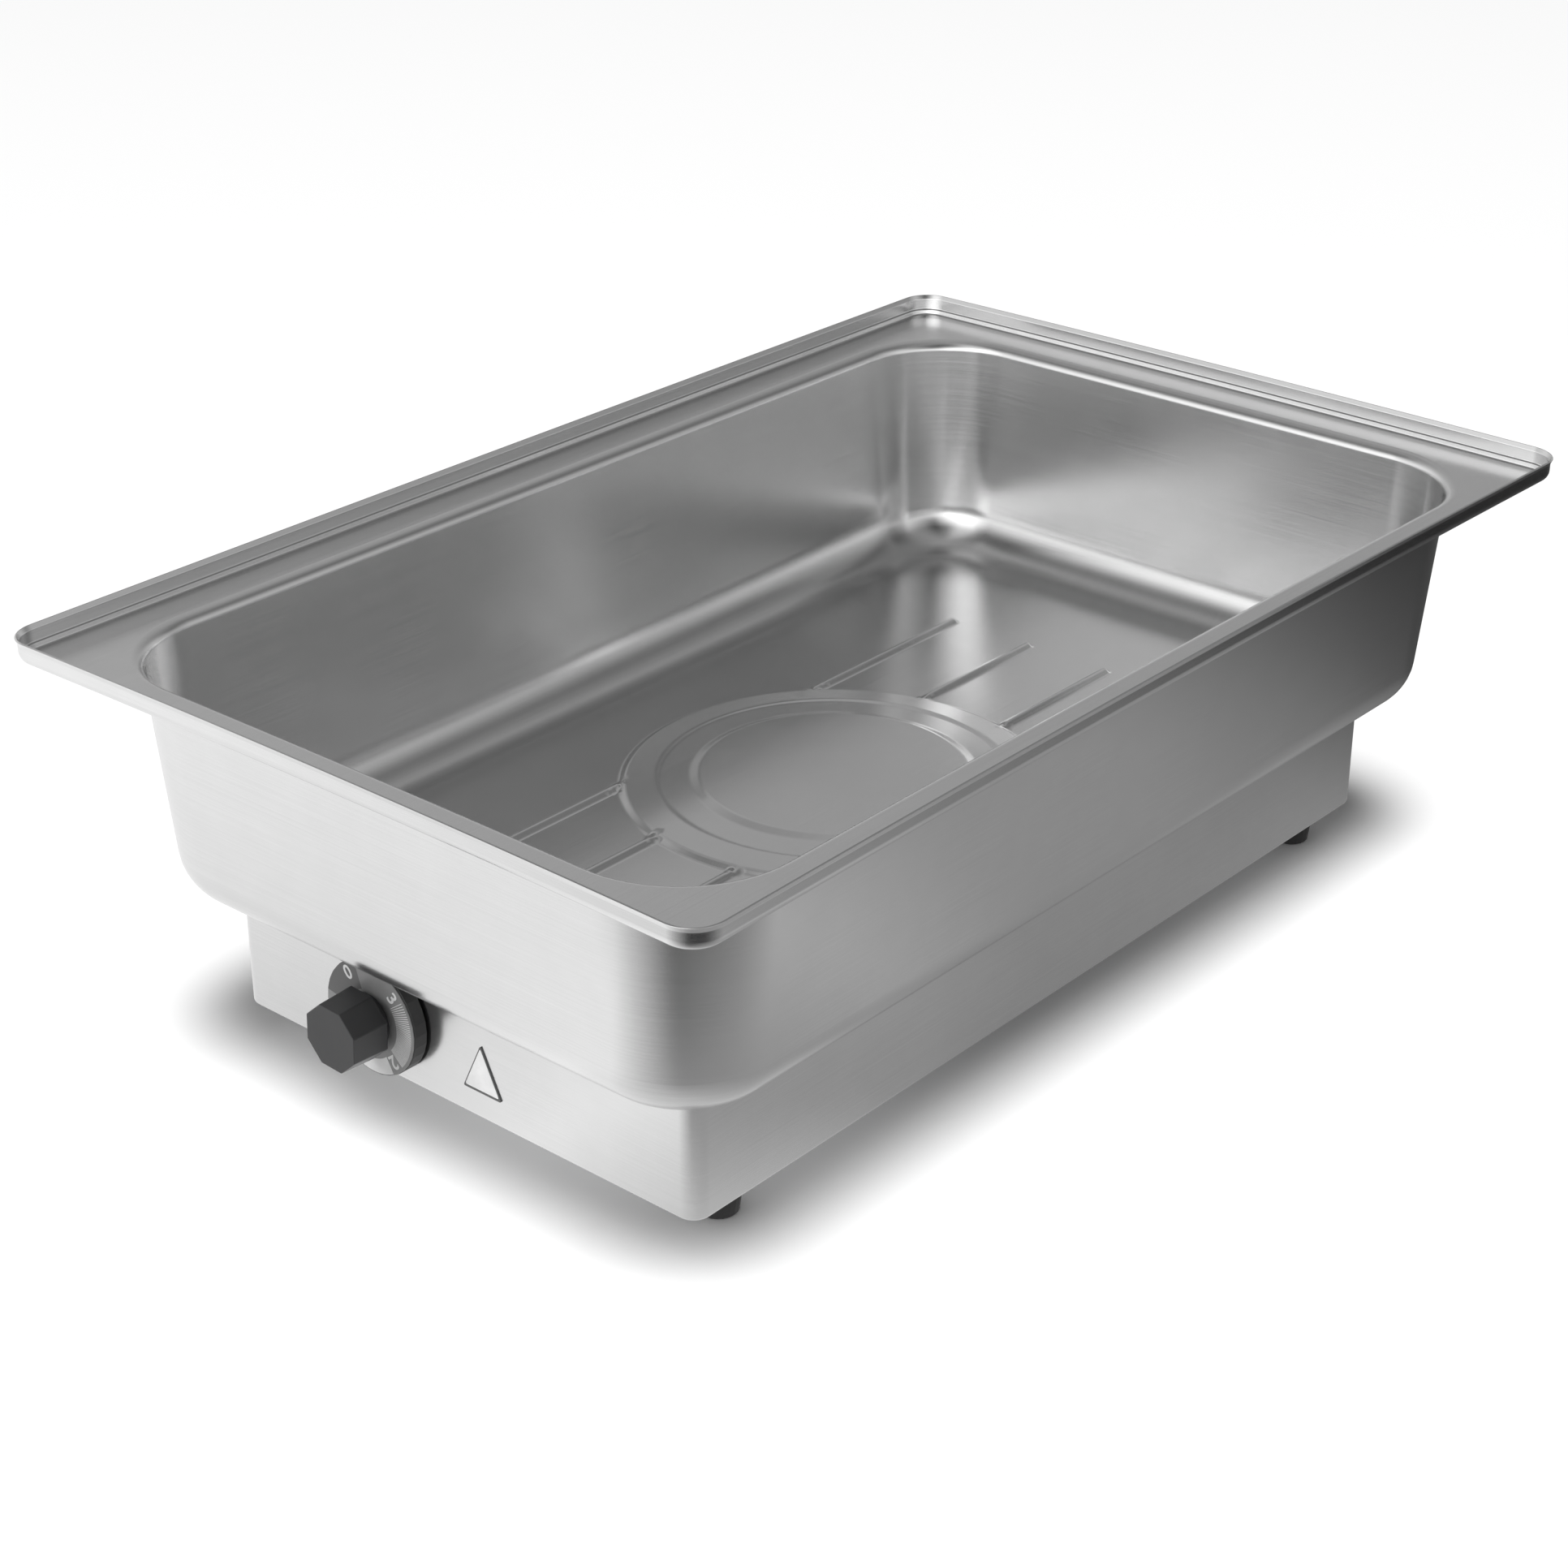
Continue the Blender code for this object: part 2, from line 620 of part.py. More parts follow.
def heater(aluminium, sheath, steel, ceramic, wool, shield_steel):
    spreader = turned(
        "heat_spreader",
        [(M6[0] + HOLE, SPREADER_LOW), (SPREADER_R, SPREADER_LOW)]
        + [(SPREADER_R, SPREADER_LOW + SPREADER_THICK), (M6[0] + HOLE, SPREADER_LOW + SPREADER_THICK)],
        aluminium,
        36,
    )
    spreader.data.shade_flat()
    heating_element(sheath)
    for side, sx in SIDES.items():
        element_terminal(f"element_terminal_{side}", sx * ELEMENT_LEG_X, ceramic)
    low = (-48.0 * MM, -9.0 * MM, CLAMP_TOP - CLAMP_THICK)
    bridge = block("clamp_bridge", low, (48.0 * MM, 9.0 * MM, CLAMP_TOP), steel)
    drill(bridge, "bridge_hole", M6[0] + HOLE, CLAMP_TOP - 5 * MM, CLAMP_TOP + 3 * MM, 0, 0)
    nut_top = CLAMP_TOP - CLAMP_THICK - GAP
    hexagon_ring("clamp_nut", M6[2], M6[0] + HOLE, nut_top - M6[1], nut_top, steel)
    stud_low, stud_high = nut_top - M6[1] - 2.0 * MM, PLATFORM_UNDER - GAP
    solid_turned("clamp_stud", [(M6[0], stud_low), (M6[0], stud_high)], steel, 16)
    shield_top = heat_shield(shield_steel)
    pad_low, pad_high = shield_top + GAP, shield_top + GAP + PAD_THICK
    pad = [(PAD_HOLE, pad_low), (PAD_R, pad_low), (PAD_R, pad_high), (PAD_HOLE, pad_high)]
    turned("insulation_pad", pad, wool, 32)
    for end, sy in ENDS.items():
        spacer = [(3.5 * MM, ON_PLATE), (3.5 * MM, SHIELD_LOW - GAP)]
        place(solid_turned(f"shield_spacer_{end}", spacer, steel, 12), 0.0, sy * SPACER_Y)


def heating_element(finish):
    """A tubular element bent into an open loop, with two straight legs towards the front."""
    gap_angle = math.degrees(math.asin(ELEMENT_LEG_X / ELEMENT_LOOP))
    start, end = -90 + gap_angle + 10, 270 - gap_angle - 10
    bend = []
    for i in range(21):
        angle = math.radians(start + (end - start) * i / 20)
        bend.append((ELEMENT_LOOP * math.cos(angle), ELEMENT_LOOP * math.sin(angle), ELEMENT_Z))
    middle = (ELEMENT_Z + ELEMENT_LEG_Z) / 2
    dip = [(-76 * MM, ELEMENT_LEG_Z), (-61 * MM, middle), (-46 * MM, ELEMENT_Z)]
    right = [(ELEMENT_LEG_X, y, z) for y, z in [(ELEMENT_LEG_END, ELEMENT_LEG_Z)] + dip]
    left = [(-x, y, z) for x, y, z in reversed(right)]
    return tube("heating_element", right + bend + left, ELEMENT_R, finish, 10)


def element_terminal(name, x, finish):
    """A ceramic bush with its pin, at the end of one leg of the element."""
    bush_r, pin_r, bush_end = 3.6 * MM, 1.5 * MM, 6.0 * MM
    profile = [(bush_r, 0.0), (bush_r, bush_end), (pin_r, bush_end), (pin_r, PIN_END)]
    bush = solid_turned(name, profile, finish, 12)
    spin = Matrix.Rotation(math.pi / 2, 4, "X")
    bush.matrix_world = Matrix.Translation((x, ELEMENT_LEG_END - GAP, ELEMENT_LEG_Z)) @ spin


def heat_shield(finish):
    """A square tray under the heater, with its edges turned up."""
    lip = 7.0 * MM
    inner = SHIELD_HALF - SHEET
    corner, floor, top = 8.0 * MM, SHIELD_LOW + SHEET, SHIELD_LOW + lip
    rings = [rounded_rectangle(SHIELD_HALF, SHIELD_HALF, corner, z, 3) for z in (SHIELD_LOW, top)]
    rings += [rounded_rectangle(inner, inner, corner - SHEET, z, 3) for z in (top, floor)]
    loft("heat_shield", rings, finish)
    return floor


# ---------------------------------------------------------------- sensing and wiring


def sensing(copper, steel):
    """The thermostat's bulb under the pan floor, its clip, and the capillary to it."""
    spin = Matrix.Rotation(-math.pi / 2, 4, "X")
    bulb = solid_turned("sensing_bulb", [(BULB_R, 0.0), (BULB_R, BULB_END - BULB_START)], copper, 12)
    bulb.matrix_world = Matrix.Translation((BULB_X, BULB_START, BULB_Z)) @ spin
    middle = (BULB_START + BULB_END) / 2
    room, reach, half = BULB_R + GAP, 10.0 * MM, 5.0 * MM
    low = (BULB_X - reach, middle - half, BULB_Z - room - SHEET)
    clip = block("bulb_clip", low, (BULB_X + reach, middle + half, PAN_UNDER - GAP), steel)
    low = (BULB_X - room, middle - 2 * half, BULB_Z - room)
    cut(clip, block("clip_slot", low, (BULB_X + room, middle + 2 * half, PAN_UNDER + SHEET), steel))
    leaving = Vector((KNOB_X - 8 * MM, THERMOSTAT_BACK + GAP, KNOB_Z + 6 * MM))
    stops = [
        leaving,
        leaving + Vector((0, 25 * MM, 0)),
        (-62 * MM, -120 * MM, 46 * MM),
        (-68 * MM, -60 * MM, 54 * MM),
        (-68 * MM, 0 * MM, 56 * MM),
        (BULB_X, BULB_START - 25 * MM, BULB_Z - 1 * MM),
        (BULB_X, BULB_START - 2 * GAP, BULB_Z),
    ]
    tube("capillary_tube", smooth_route(stops), CAPILLARY_R, copper, 6)


def safety_cutout(plastic, steel):
    """A round thermal cut-out under the pan floor, held by a strap."""
    top = PAN_UNDER - GAP
    bottom, step = top - CUTOUT_TALL, top - 3.0 * MM
    body_r, rim_r = 8.0 * MM, 9.5 * MM
    profile = [(body_r, bottom), (body_r, step), (rim_r, step), (rim_r, top)]
    place(solid_turned("safety_cutout", profile, plastic, 24), 0.0, CUTOUT_Y)
    reach, room, half = 20.0 * MM, 16.0 * MM, 4.0 * MM
    low = bottom - GAP - SHEET
    strap = block("cutout_strap", (-reach, CUTOUT_Y - half, low), (reach, CUTOUT_Y + half, top), steel)
    inside = (-room, CUTOUT_Y - 2 * half, low + SHEET)
    cut(strap, block("strap_room", inside, (room, CUTOUT_Y + 2 * half, top + SHEET), steel))


def mains_side(ceramic, steel, plastic):
    """Terminal block, cable gland, and earth stud, at the rear."""
    across, along = BLOCK_HALF
    low = (GLAND_X - across, BLOCK_Y - along, ON_PLATE)
    terminal_block = block("terminal_block", low, (GLAND_X + across, BLOCK_Y + along, BLOCK_TOP), ceramic)
    for number in range(3):
        x, y = GLAND_X + (number - 1) * POLE, BLOCK_Y + along / 2
        drill(terminal_block, f"terminal_well_{number}", 2.0 * MM, TERMINAL_Z, BLOCK_TOP + 5 * MM, x, y)
    gland(plastic)
    stud = [(M4[0], ON_PLATE), (M4[0], 30.0 * MM)]
    place(solid_turned("earth_stud", stud, steel, 16), EARTH_X, EARTH_Y)
    nut_low = 22.0 * MM
    nut = hexagon_ring("earth_nut", M4[2], M4[0] + HOLE, nut_low, nut_low + M4[1], steel)
    place(nut, EARTH_X, EARTH_Y)


def gland(finish):
    """A cable gland in the rear wall: body outside, cap screwed on it, locknut inside."""
    thread, flange, inside = 7.5 * MM, 4.0 * MM, -10.0 * MM
    low, high = GAP, GAP + flange
    body = [
        (BORE_R, inside),
        (thread, inside),
        (thread, low),
        (11.0 * MM, low),
        (11.0 * MM, high),
        (thread, high),
        (thread, high + 8 * MM),
        (BORE_R, high + 8 * MM),
    ]
    face_rear(turned("gland_body", body, finish), GLAND_X, GLAND_Z)
    cap_low, cap_high = high + GAP, high + 14 * MM
    cap = [
        (thread + GAP, cap_low),
        (10.5 * MM, cap_low),
        (10.5 * MM, cap_low + 7 * MM),
        (8.5 * MM, cap_high - 1 * MM),
        (7.5 * MM, cap_high),
        (BORE_R, cap_high),
        (BORE_R, high + 8.5 * MM),
        (thread + GAP, high + 8.5 * MM),
    ]
    face_rear(turned("gland_cap", cap, finish), GLAND_X, GLAND_Z)
    nut_high = -SHEET - GAP
    nut = hexagon_ring("gland_locknut", 11.0 * MM, thread + GAP, nut_high - 4.5 * MM, nut_high, finish)
    face_rear(nut, GLAND_X, GLAND_Z)


def leads(finishes):
    """Insulated leads between the terminal block, thermostat, cut-out and element."""
    away = LEAD_R * 0.7  # room for a lead's end to tilt
    stub = 9.0 * MM
    body_y = THERMOSTAT_BACK + away
    block_y = BLOCK_Y - BLOCK_HALF[1] - away
    pin_y = ELEMENT_LEG_END - GAP - PIN_END - away
    cutout_z = PAN_UNDER - GAP - CUTOUT_TALL - away
    in_y, out_y = CUTOUT_Y + 6.2 * MM, CUTOUT_Y - 6.2 * MM  # the cut-out's terminals, clear of its strap
    routes = {
        "live_lead": [
            (GLAND_X - POLE, block_y, TERMINAL_Z),
            (GLAND_X - POLE, block_y - stub, TERMINAL_Z),
            (30 * MM, 60 * MM, 21 * MM),
            (20 * MM, -60 * MM, 21 * MM),
            (-10 * MM, -150 * MM, 24 * MM),
            (KNOB_X + 8 * MM, body_y + stub, 36 * MM),
            (KNOB_X + 8 * MM, body_y, 36 * MM),
        ],
        "switched_lead": [
            (KNOB_X - 6 * MM, body_y, 32 * MM),
            (KNOB_X - 6 * MM, body_y + stub, 32 * MM),
            (-36 * MM, -80 * MM, 24 * MM),
            (-36 * MM, 60 * MM, 24 * MM),
            (-24 * MM, 100 * MM, 34 * MM),
            (-6 * MM, in_y + 2 * MM, cutout_z - 1.5 * stub),
            (-4 * MM, in_y, cutout_z - 0.7 * stub),
            (-4 * MM, in_y, cutout_z),
        ],
        "element_lead": [
            (4 * MM, out_y, cutout_z),
            (4 * MM, out_y, cutout_z - 0.7 * stub),
            (10 * MM, 92 * MM, 38 * MM),
            (48 * MM, 76 * MM, 30 * MM),
            (52 * MM, -20 * MM, 30 * MM),
            (40 * MM, -110 * MM, 36 * MM),
            (20 * MM, pin_y - 2 * stub, ELEMENT_LEG_Z - 6 * MM),
            (ELEMENT_LEG_X, pin_y - stub, ELEMENT_LEG_Z),
            (ELEMENT_LEG_X, pin_y, ELEMENT_LEG_Z),
        ],
        "neutral_lead": [
            (GLAND_X, block_y, TERMINAL_Z),
            (GLAND_X, block_y - stub, TERMINAL_Z),
            (46 * MM, 125 * MM, 24 * MM),
            (42 * MM, -60 * MM, 21 * MM),
            (6 * MM, -115 * MM, 38 * MM),
            (-10 * MM, pin_y - 2 * stub, ELEMENT_LEG_Z - 6 * MM),
            (-ELEMENT_LEG_X, pin_y - stub, ELEMENT_LEG_Z),
            (-ELEMENT_LEG_X, pin_y, ELEMENT_LEG_Z),
        ],
        "earth_lead": [
            (GLAND_X + POLE, block_y, TERMINAL_Z),
            (GLAND_X + POLE, block_y - stub, TERMINAL_Z),
            (EARTH_X, EARTH_Y + M4[0] + away + stub, 19 * MM),
            (EARTH_X, EARTH_Y + M4[0] + away, 19 * MM),
        ],
    }
    for name, stops in routes.items():
        tube(name, smooth_route(stops, 4), LEAD_R, finishes[name], 6)


# ---------------------------------------------------------------- assembly


def main():
    for old in list(bpy.data.objects):
        bpy.data.objects.remove(old, do_unlink=True)
    stainless = material("stainless_steel", (0.62, 0.62, 0.62), 0.28, 1.0)
    casing_steel = material("casing_steel", (0.62, 0.62, 0.62), 0.30, 1.0)
    zinc = material("zinc_plated_steel", (0.55, 0.56, 0.58), 0.35, 1.0)
    galvanised = material("galvanised_steel", (0.50, 0.51, 0.52), 0.45, 1.0)
    rubber = material("black_rubber", (0.02, 0.02, 0.02), 0.75, 0.0)
    knob_plastic = material("knob_plastic", (0.05, 0.05, 0.05), 0.45, 0.0)
    dial_print = material("dial_print", (0.12, 0.12, 0.12), 0.40, 0.0)
    plate_grey = material("plate_grey", (0.72, 0.72, 0.72), 0.40, 0.0)
    phenolic = material("phenolic", (0.06, 0.04, 0.03), 0.50, 0.0)
    ceramic = material("ceramic", (0.80, 0.78, 0.72), 0.40, 0.0)
    aluminium = material("aluminium", (0.72, 0.73, 0.74), 0.35, 1.0)
    sheath = material("element_sheath", (0.28, 0.26, 0.24), 0.45, 1.0)
    copper = material("copper", (0.72, 0.40, 0.25), 0.35, 1.0)
    wool = material("insulation_wool", (0.82, 0.80, 0.74), 0.95, 0.0)
    nylon = material("black_nylon", (0.03, 0.03, 0.03), 0.50, 0.0)
    brown = material("brown_lead", (0.20, 0.09, 0.04), 0.55, 0.0)
    blue = material("blue_lead", (0.05, 0.15, 0.45), 0.55, 0.0)
    green = material("green_lead", (0.20, 0.45, 0.08), 0.55, 0.0)

    water_pan(stainless)
    base_casing(casing_steel)
    bottom_plate(galvanised)
    foot_set(rubber, zinc)
    pan_studs(zinc)
    control(knob_plastic, dial_print, zinc, phenolic)
    triangle_plate(plate_grey)
    heater(aluminium, sheath, zinc, ceramic, wool, galvanised)
    sensing(copper, zinc)
    safety_cutout(phenolic, zinc)
    mains_side(ceramic, zinc, nylon)
    leads(
        {
            "live_lead": brown,
            "switched_lead": brown,
            "element_lead": brown,
            "neutral_lead": blue,
            "earth_lead": green,
        }
    )


main()
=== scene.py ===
import json
import math

import bpy
import numpy as np
from mathutils import Matrix, Vector
from mathutils.geometry import delaunay_2d_cdt


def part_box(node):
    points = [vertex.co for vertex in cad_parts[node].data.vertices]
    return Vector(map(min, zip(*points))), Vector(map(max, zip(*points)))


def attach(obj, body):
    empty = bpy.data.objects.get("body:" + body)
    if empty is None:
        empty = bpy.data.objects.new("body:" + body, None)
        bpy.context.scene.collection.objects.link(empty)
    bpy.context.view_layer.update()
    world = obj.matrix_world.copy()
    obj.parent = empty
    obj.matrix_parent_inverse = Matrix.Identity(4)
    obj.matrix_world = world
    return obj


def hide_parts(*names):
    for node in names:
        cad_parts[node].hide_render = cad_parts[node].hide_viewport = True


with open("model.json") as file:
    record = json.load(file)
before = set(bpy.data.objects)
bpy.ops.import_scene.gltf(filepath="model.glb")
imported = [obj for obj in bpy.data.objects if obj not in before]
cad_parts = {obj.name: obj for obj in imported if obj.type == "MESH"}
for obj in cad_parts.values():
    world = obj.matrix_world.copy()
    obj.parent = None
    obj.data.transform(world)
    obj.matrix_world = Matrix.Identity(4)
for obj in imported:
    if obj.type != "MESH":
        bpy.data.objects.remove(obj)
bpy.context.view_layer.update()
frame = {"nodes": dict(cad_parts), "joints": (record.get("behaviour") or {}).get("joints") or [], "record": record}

MM = 0.001
SHEET = 1.0  # the pan's and casing's metal, in millimetres


def box_mm(node):
    low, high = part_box(node)
    return [c / MM for c in low], [c / MM for c in high]


PAN_LOW, PAN_HIGH = box_mm("water_pan")
CASE_LOW, CASE_HIGH = box_mm("base_casing")
TOP = PAN_HIGH[2]
HALF = (PAN_HIGH[0], PAN_HIGH[1])
FLOOR = PAN_LOW[2] + SHEET
KNOB = [c / MM for c in next(j for j in frame["joints"] if j["name"] == "knob_turn")["pos_m"]]


# ---------------------------------------------------------------- mesh tools


def unit(v):
    return v / np.linalg.norm(v)


def filleted(stops, step_degrees=9.0, closed=False):
    """Points and left-hand normals of a polyline in the section plane, its corners rounded.

    Each stop is (across, up, fillet radius). Both ends of a fillet keep the straight's own normal.
    """
    places = [np.array(s[:2], float) for s in stops]
    points, normals = [], []
    count = len(stops)
    for i, stop in enumerate(stops):
        if not closed and i in (0, count - 1):
            a, b = (places[0], places[1]) if i == 0 else (places[-2], places[-1])
            along = unit(b - a)
            points.append(places[i])
            normals.append(np.array((-along[1], along[0])))
            continue
        before = unit(places[i] - places[i - 1])
        after = unit(places[(i + 1) % count] - places[i])
        turn = math.atan2(before[0] * after[1] - before[1] * after[0], float(before @ after))
        reach = stop[2] * math.tan(abs(turn) / 2)
        start = places[i] - before * reach
        side = 1.0 if turn > 0 else -1.0
        centre = start + np.array((-before[1], before[0])) * stop[2] * side
        steps = max(2, math.ceil(abs(math.degrees(turn)) / step_degrees))
        for k in range(steps + 1):
            angle = turn * k / steps
            c, s = math.cos(angle), math.sin(angle)
            out = start - centre
            points.append(centre + np.array((c * out[0] - s * out[1], s * out[0] + c * out[1])))
            heading = np.array((c * before[0] - s * before[1], s * before[0] + c * before[1]))
            normals.append(np.array((-heading[1], heading[0])))
    return points, normals


def plan_ring(half_x, half_y, radius, corner_steps, side_steps):
    """Points and outward normals round a rectangle with rounded corners, anticlockwise from +X."""
    points, normals = [], []
    for corner in range(4):
        sx = 1 if corner in (0, 3) else -1
        sy = 1 if corner in (0, 1) else -1
        middle = np.array((sx * (half_x - radius), sy * (half_y - radius)))
        for i in range(corner_steps + 1):
            angle = math.radians(90 * corner + 90 * i / corner_steps)
            out = np.array((math.cos(angle), math.sin(angle)))
            points.append(middle + radius * out)
            normals.append(out)
        angle = math.radians(90 * corner + 90)
        out = np.array((math.cos(angle), math.sin(angle)))
        start = middle + radius * out
        run = 2 * (half_x - radius) if corner % 2 == 0 else 2 * (half_y - radius)
        heading = np.array((-out[1], out[0]))
        for i in range(1, side_steps):
            points.append(start + heading * run * i / side_steps)
            normals.append(out)
    return points, normals


def new_piece(name, vertices, faces, material, normals=None, smooth=True):
    mesh = bpy.data.meshes.new(name)
    mesh.from_pydata([tuple(c * MM for c in v) for v in vertices], [], faces)
    mesh.update()
    if smooth:
        mesh.shade_smooth()
    if normals is not None:
        mesh.normals_split_custom_set_from_vertices([tuple(n) for n in normals])
    mesh.materials.append(material)
    piece = bpy.data.objects.new(name, mesh)
    bpy.context.collection.objects.link(piece)
    return piece


def skin(rings, offset, closed=False):
    """Quads between rings of equal counts whose vertices are numbered on from offset."""
    count = len(rings[0])
    faces = []
    for i in range(len(rings) if closed else len(rings) - 1):
        low, high = offset + i * count, offset + ((i + 1) % len(rings)) * count
        for k in range(count):
            after = (k + 1) % count
            faces.append((low + k, high + k, high + after, low + after))
    return faces


# ---------------------------------------------------------------- materials


def new_material(name, colour, roughness, metallic=0.0, **sockets):
    material = bpy.data.materials.new(name)
    material.use_nodes = True
    shader = material.node_tree.nodes["Principled BSDF"]
    shader.inputs["Base Color"].default_value = (*colour, 1.0)
    shader.inputs["Roughness"].default_value = roughness
    shader.inputs["Metallic"].default_value = metallic
    for socket, value in sockets.items():
        shader.inputs[socket.replace("_", " ")].default_value = value
    return material


class Nodes:
    """Short words for building a material's node tree."""

    def __init__(self, material):
        self.tree = material.node_tree
        self.shader = self.tree.nodes["Principled BSDF"]
        self.place = self.add("ShaderNodeTexCoord").outputs["Object"]

    def add(self, kind, **settings):
        node = self.tree.nodes.new(kind)
        for key, value in settings.items():
            setattr(node, key, value)
        return node

    def link(self, a, b):
        self.tree.links.new(a, b)

    def noise(self, scale, stretch=(1.0, 1.0, 1.0), detail=3.0, rough=0.55):
        spread = self.add("ShaderNodeMapping")
        spread.inputs["Scale"].default_value = stretch
        self.link(self.place, spread.inputs["Vector"])
        noise = self.add("ShaderNodeTexNoise")
        noise.inputs["Scale"].default_value = scale
        noise.inputs["Detail"].default_value = detail
        noise.inputs["Roughness"].default_value = rough
        self.link(spread.outputs["Vector"], noise.inputs["Vector"])
        return noise.outputs["Fac"]

    def remap(self, value, low, high, start=0.3, end=0.7):
        change = self.add("ShaderNodeMapRange")
        for socket, number in (("From Min", start), ("From Max", end), ("To Min", low), ("To Max", high)):
            change.inputs[socket].default_value = number
        self.link(value, change.inputs["Value"])
        return change.outputs["Result"]

    def maths(self, operation, a, b):
        node = self.add("ShaderNodeMath", operation=operation)
        for socket, value in zip(node.inputs, (a, b)):
            if isinstance(value, (int, float)):
                socket.default_value = value
            else:
                self.link(value, socket)
        return node.outputs[0]

    def blend(self, share, a, b):
        """a where share is 0 and b where it is 1."""
        return self.maths("ADD", self.maths("MULTIPLY", self.maths("SUBTRACT", b, a), share), a)

    def tint(self, value, colour, low, high):
        """The base colour, made darker or lighter by value."""
        mix = self.add("ShaderNodeMix", data_type="RGBA", blend_type="MIX")
        mix.inputs[6].default_value = (*[c * low for c in colour], 1.0)
        mix.inputs[7].default_value = (*[min(1.0, c * high) for c in colour], 1.0)
        self.link(value, mix.inputs[0])
        self.link(mix.outputs[2], self.shader.inputs["Base Color"])

    def bump(self, height, strength, distance):
        bump = self.add("ShaderNodeBump")
        bump.inputs["Strength"].default_value = strength
        bump.inputs["Distance"].default_value = distance
        self.link(height, bump.inputs["Height"])
        self.link(bump.outputs["Normal"], self.shader.inputs["Normal"])


def brushed_steel(name, colour, roughness, grain=0.05, anisotropy=0.55):
    """Satin stainless: lines run level round the walls, and along Y on level faces."""
    material = new_material(name, colour, roughness, 1.0, Anisotropic=anisotropy)
    n = Nodes(material)
    level = n.add("ShaderNodeNewGeometry").outputs["Normal"]
    split = n.add("ShaderNodeSeparateXYZ")
    n.link(level, split.inputs[0])
    upness = n.maths("ABSOLUTE", split.outputs["Z"], 0.0)
    flat = n.remap(upness, 0.0, 1.0, 0.6, 0.8)
    walls = n.noise(1.0, (14.0, 14.0, 5200.0), 2.0)
    flats = n.noise(1.0, (5200.0, 14.0, 14.0), 2.0)
    lines = n.blend(flat, walls, flats)
    soft = n.noise(16.0, (1.0, 1.0, 1.0), 4.0)
    wear = n.noise(1.0, (60.0, 60.0, 60.0), 6.0, 0.6)
    rough = n.remap(lines, roughness - grain, roughness + grain)
    cloud = n.remap(soft, -0.02, 0.02)
    n.link(n.maths("ADD", rough, cloud), n.shader.inputs["Roughness"])
    shade = n.maths("ADD", n.maths("MULTIPLY", lines, 0.7), n.maths("MULTIPLY", wear, 0.3))
    n.tint(n.remap(shade, 0.0, 1.0), colour, 0.95, 1.04)
    n.bump(lines, 0.025, 0.00002)
    across = n.add("ShaderNodeCombineXYZ")
    across.inputs[0].default_value = 0.02
    across.inputs[2].default_value = 1.0
    n.link(across.outputs[0], n.shader.inputs["Tangent"])
    return material


def moulded(name, colour, roughness, grain=3500.0, strength=0.25):
    """Moulded plastic or rubber: a fine grain, with a little variation in gloss and colour."""
    material = new_material(name, colour, roughness)
    n = Nodes(material)
    fine = n.noise(grain, (1.0, 1.0, 1.0), 2.0)
    broad = n.noise(90.0, (1.0, 1.0, 1.0), 4.0)
    n.link(n.remap(broad, roughness - 0.05, roughness + 0.06), n.shader.inputs["Roughness"])
    n.tint(n.remap(broad, 0.0, 1.0), colour, 0.9, 1.1)
    n.bump(fine, strength, 0.00003)
    return material


def plated(name, colour, roughness, mottle=60.0):
    """Plated or plain sheet: a mottled sheen."""
    material = new_material(name, colour, roughness, 1.0)
    n = Nodes(material)
    cells = n.noise(mottle, (1.0, 1.0, 1.0), 5.0, 0.6)
    n.link(n.remap(cells, roughness - 0.08, roughness + 0.1), n.shader.inputs["Roughness"])
    n.tint(n.remap(cells, 0.0, 1.0), colour, 0.88, 1.06)
    n.bump(cells, 0.08, 0.00005)
    return material


STEEL = (0.66, 0.66, 0.66)
steel = brushed_steel("satin_stainless", STEEL, 0.22, 0.02, 0.4)
casing_steel = brushed_steel("satin_casing_steel", STEEL, 0.22, 0.02, 0.4)
black = moulded("satin_black_plastic", (0.020, 0.020, 0.021), 0.42)
skirt_black = moulded("skirt_black_plastic", (0.012, 0.012, 0.012), 0.5)
dial_grey = moulded("dial_printed_grey", (0.21, 0.21, 0.21), 0.42, 2500.0, 0.1)
dial_dark = moulded("dial_printed_dark", (0.085, 0.085, 0.085), 0.42, 2500.0, 0.1)
dial_mark = moulded("dial_printed_light", (0.66, 0.66, 0.66), 0.45, 2500.0, 0.1)
plate_face = moulded("plate_face_light", (0.80, 0.80, 0.80), 0.4, 2500.0, 0.1)
# The plate's dark rim: a printed border, and along the plate's foot painted shadow
plate_border_and_shadow = moulded("plate_border_and_painted_shadow_dark", (0.09, 0.09, 0.09), 0.45, 2500.0, 0.1)
rubber = moulded("black_rubber_matt", (0.016, 0.016, 0.016), 0.7, 2200.0, 0.4)


# ---------------------------------------------------------------- the pan's floor

PLATFORM = ((57.0, 5.3), (61.0, 3.9), (73.0, 3.2), (75.5, 3.5), (88.0, 2.2), (91.0, 0.0))
PLATFORM_SOFT = 0.9  # half the width over which each edge of the platform is rounded
BEAD_X = (-65.0, -21.7, 21.7, 65.0)
BEAD_START = 50.0
BEAD_END = 168.0
BEAD_HALF = 3.6
BEAD_HEIGHT = 2.2
JOIN = 0.8  # over which a bead runs smoothly into the platform


def platform_height(r):
    """The platform's height at radius r, and its slope, with softened edges."""
    grid = np.arange(-10.0, 140.0, 0.05)
    known_r = [-10.0] + [p[0] for p in PLATFORM] + [140.0]
    known_h = [PLATFORM[0][1]] + [p[1] for p in PLATFORM] + [0.0]
    raw = np.interp(grid, known_r, known_h)
    total = np.concatenate(([0.0], np.cumsum((raw[1:] + raw[:-1]) * 0.025)))
    ahead, behind = np.interp(r + PLATFORM_SOFT, grid, total), np.interp(r - PLATFORM_SOFT, grid, total)
    return (ahead - behind) / (2 * PLATFORM_SOFT)


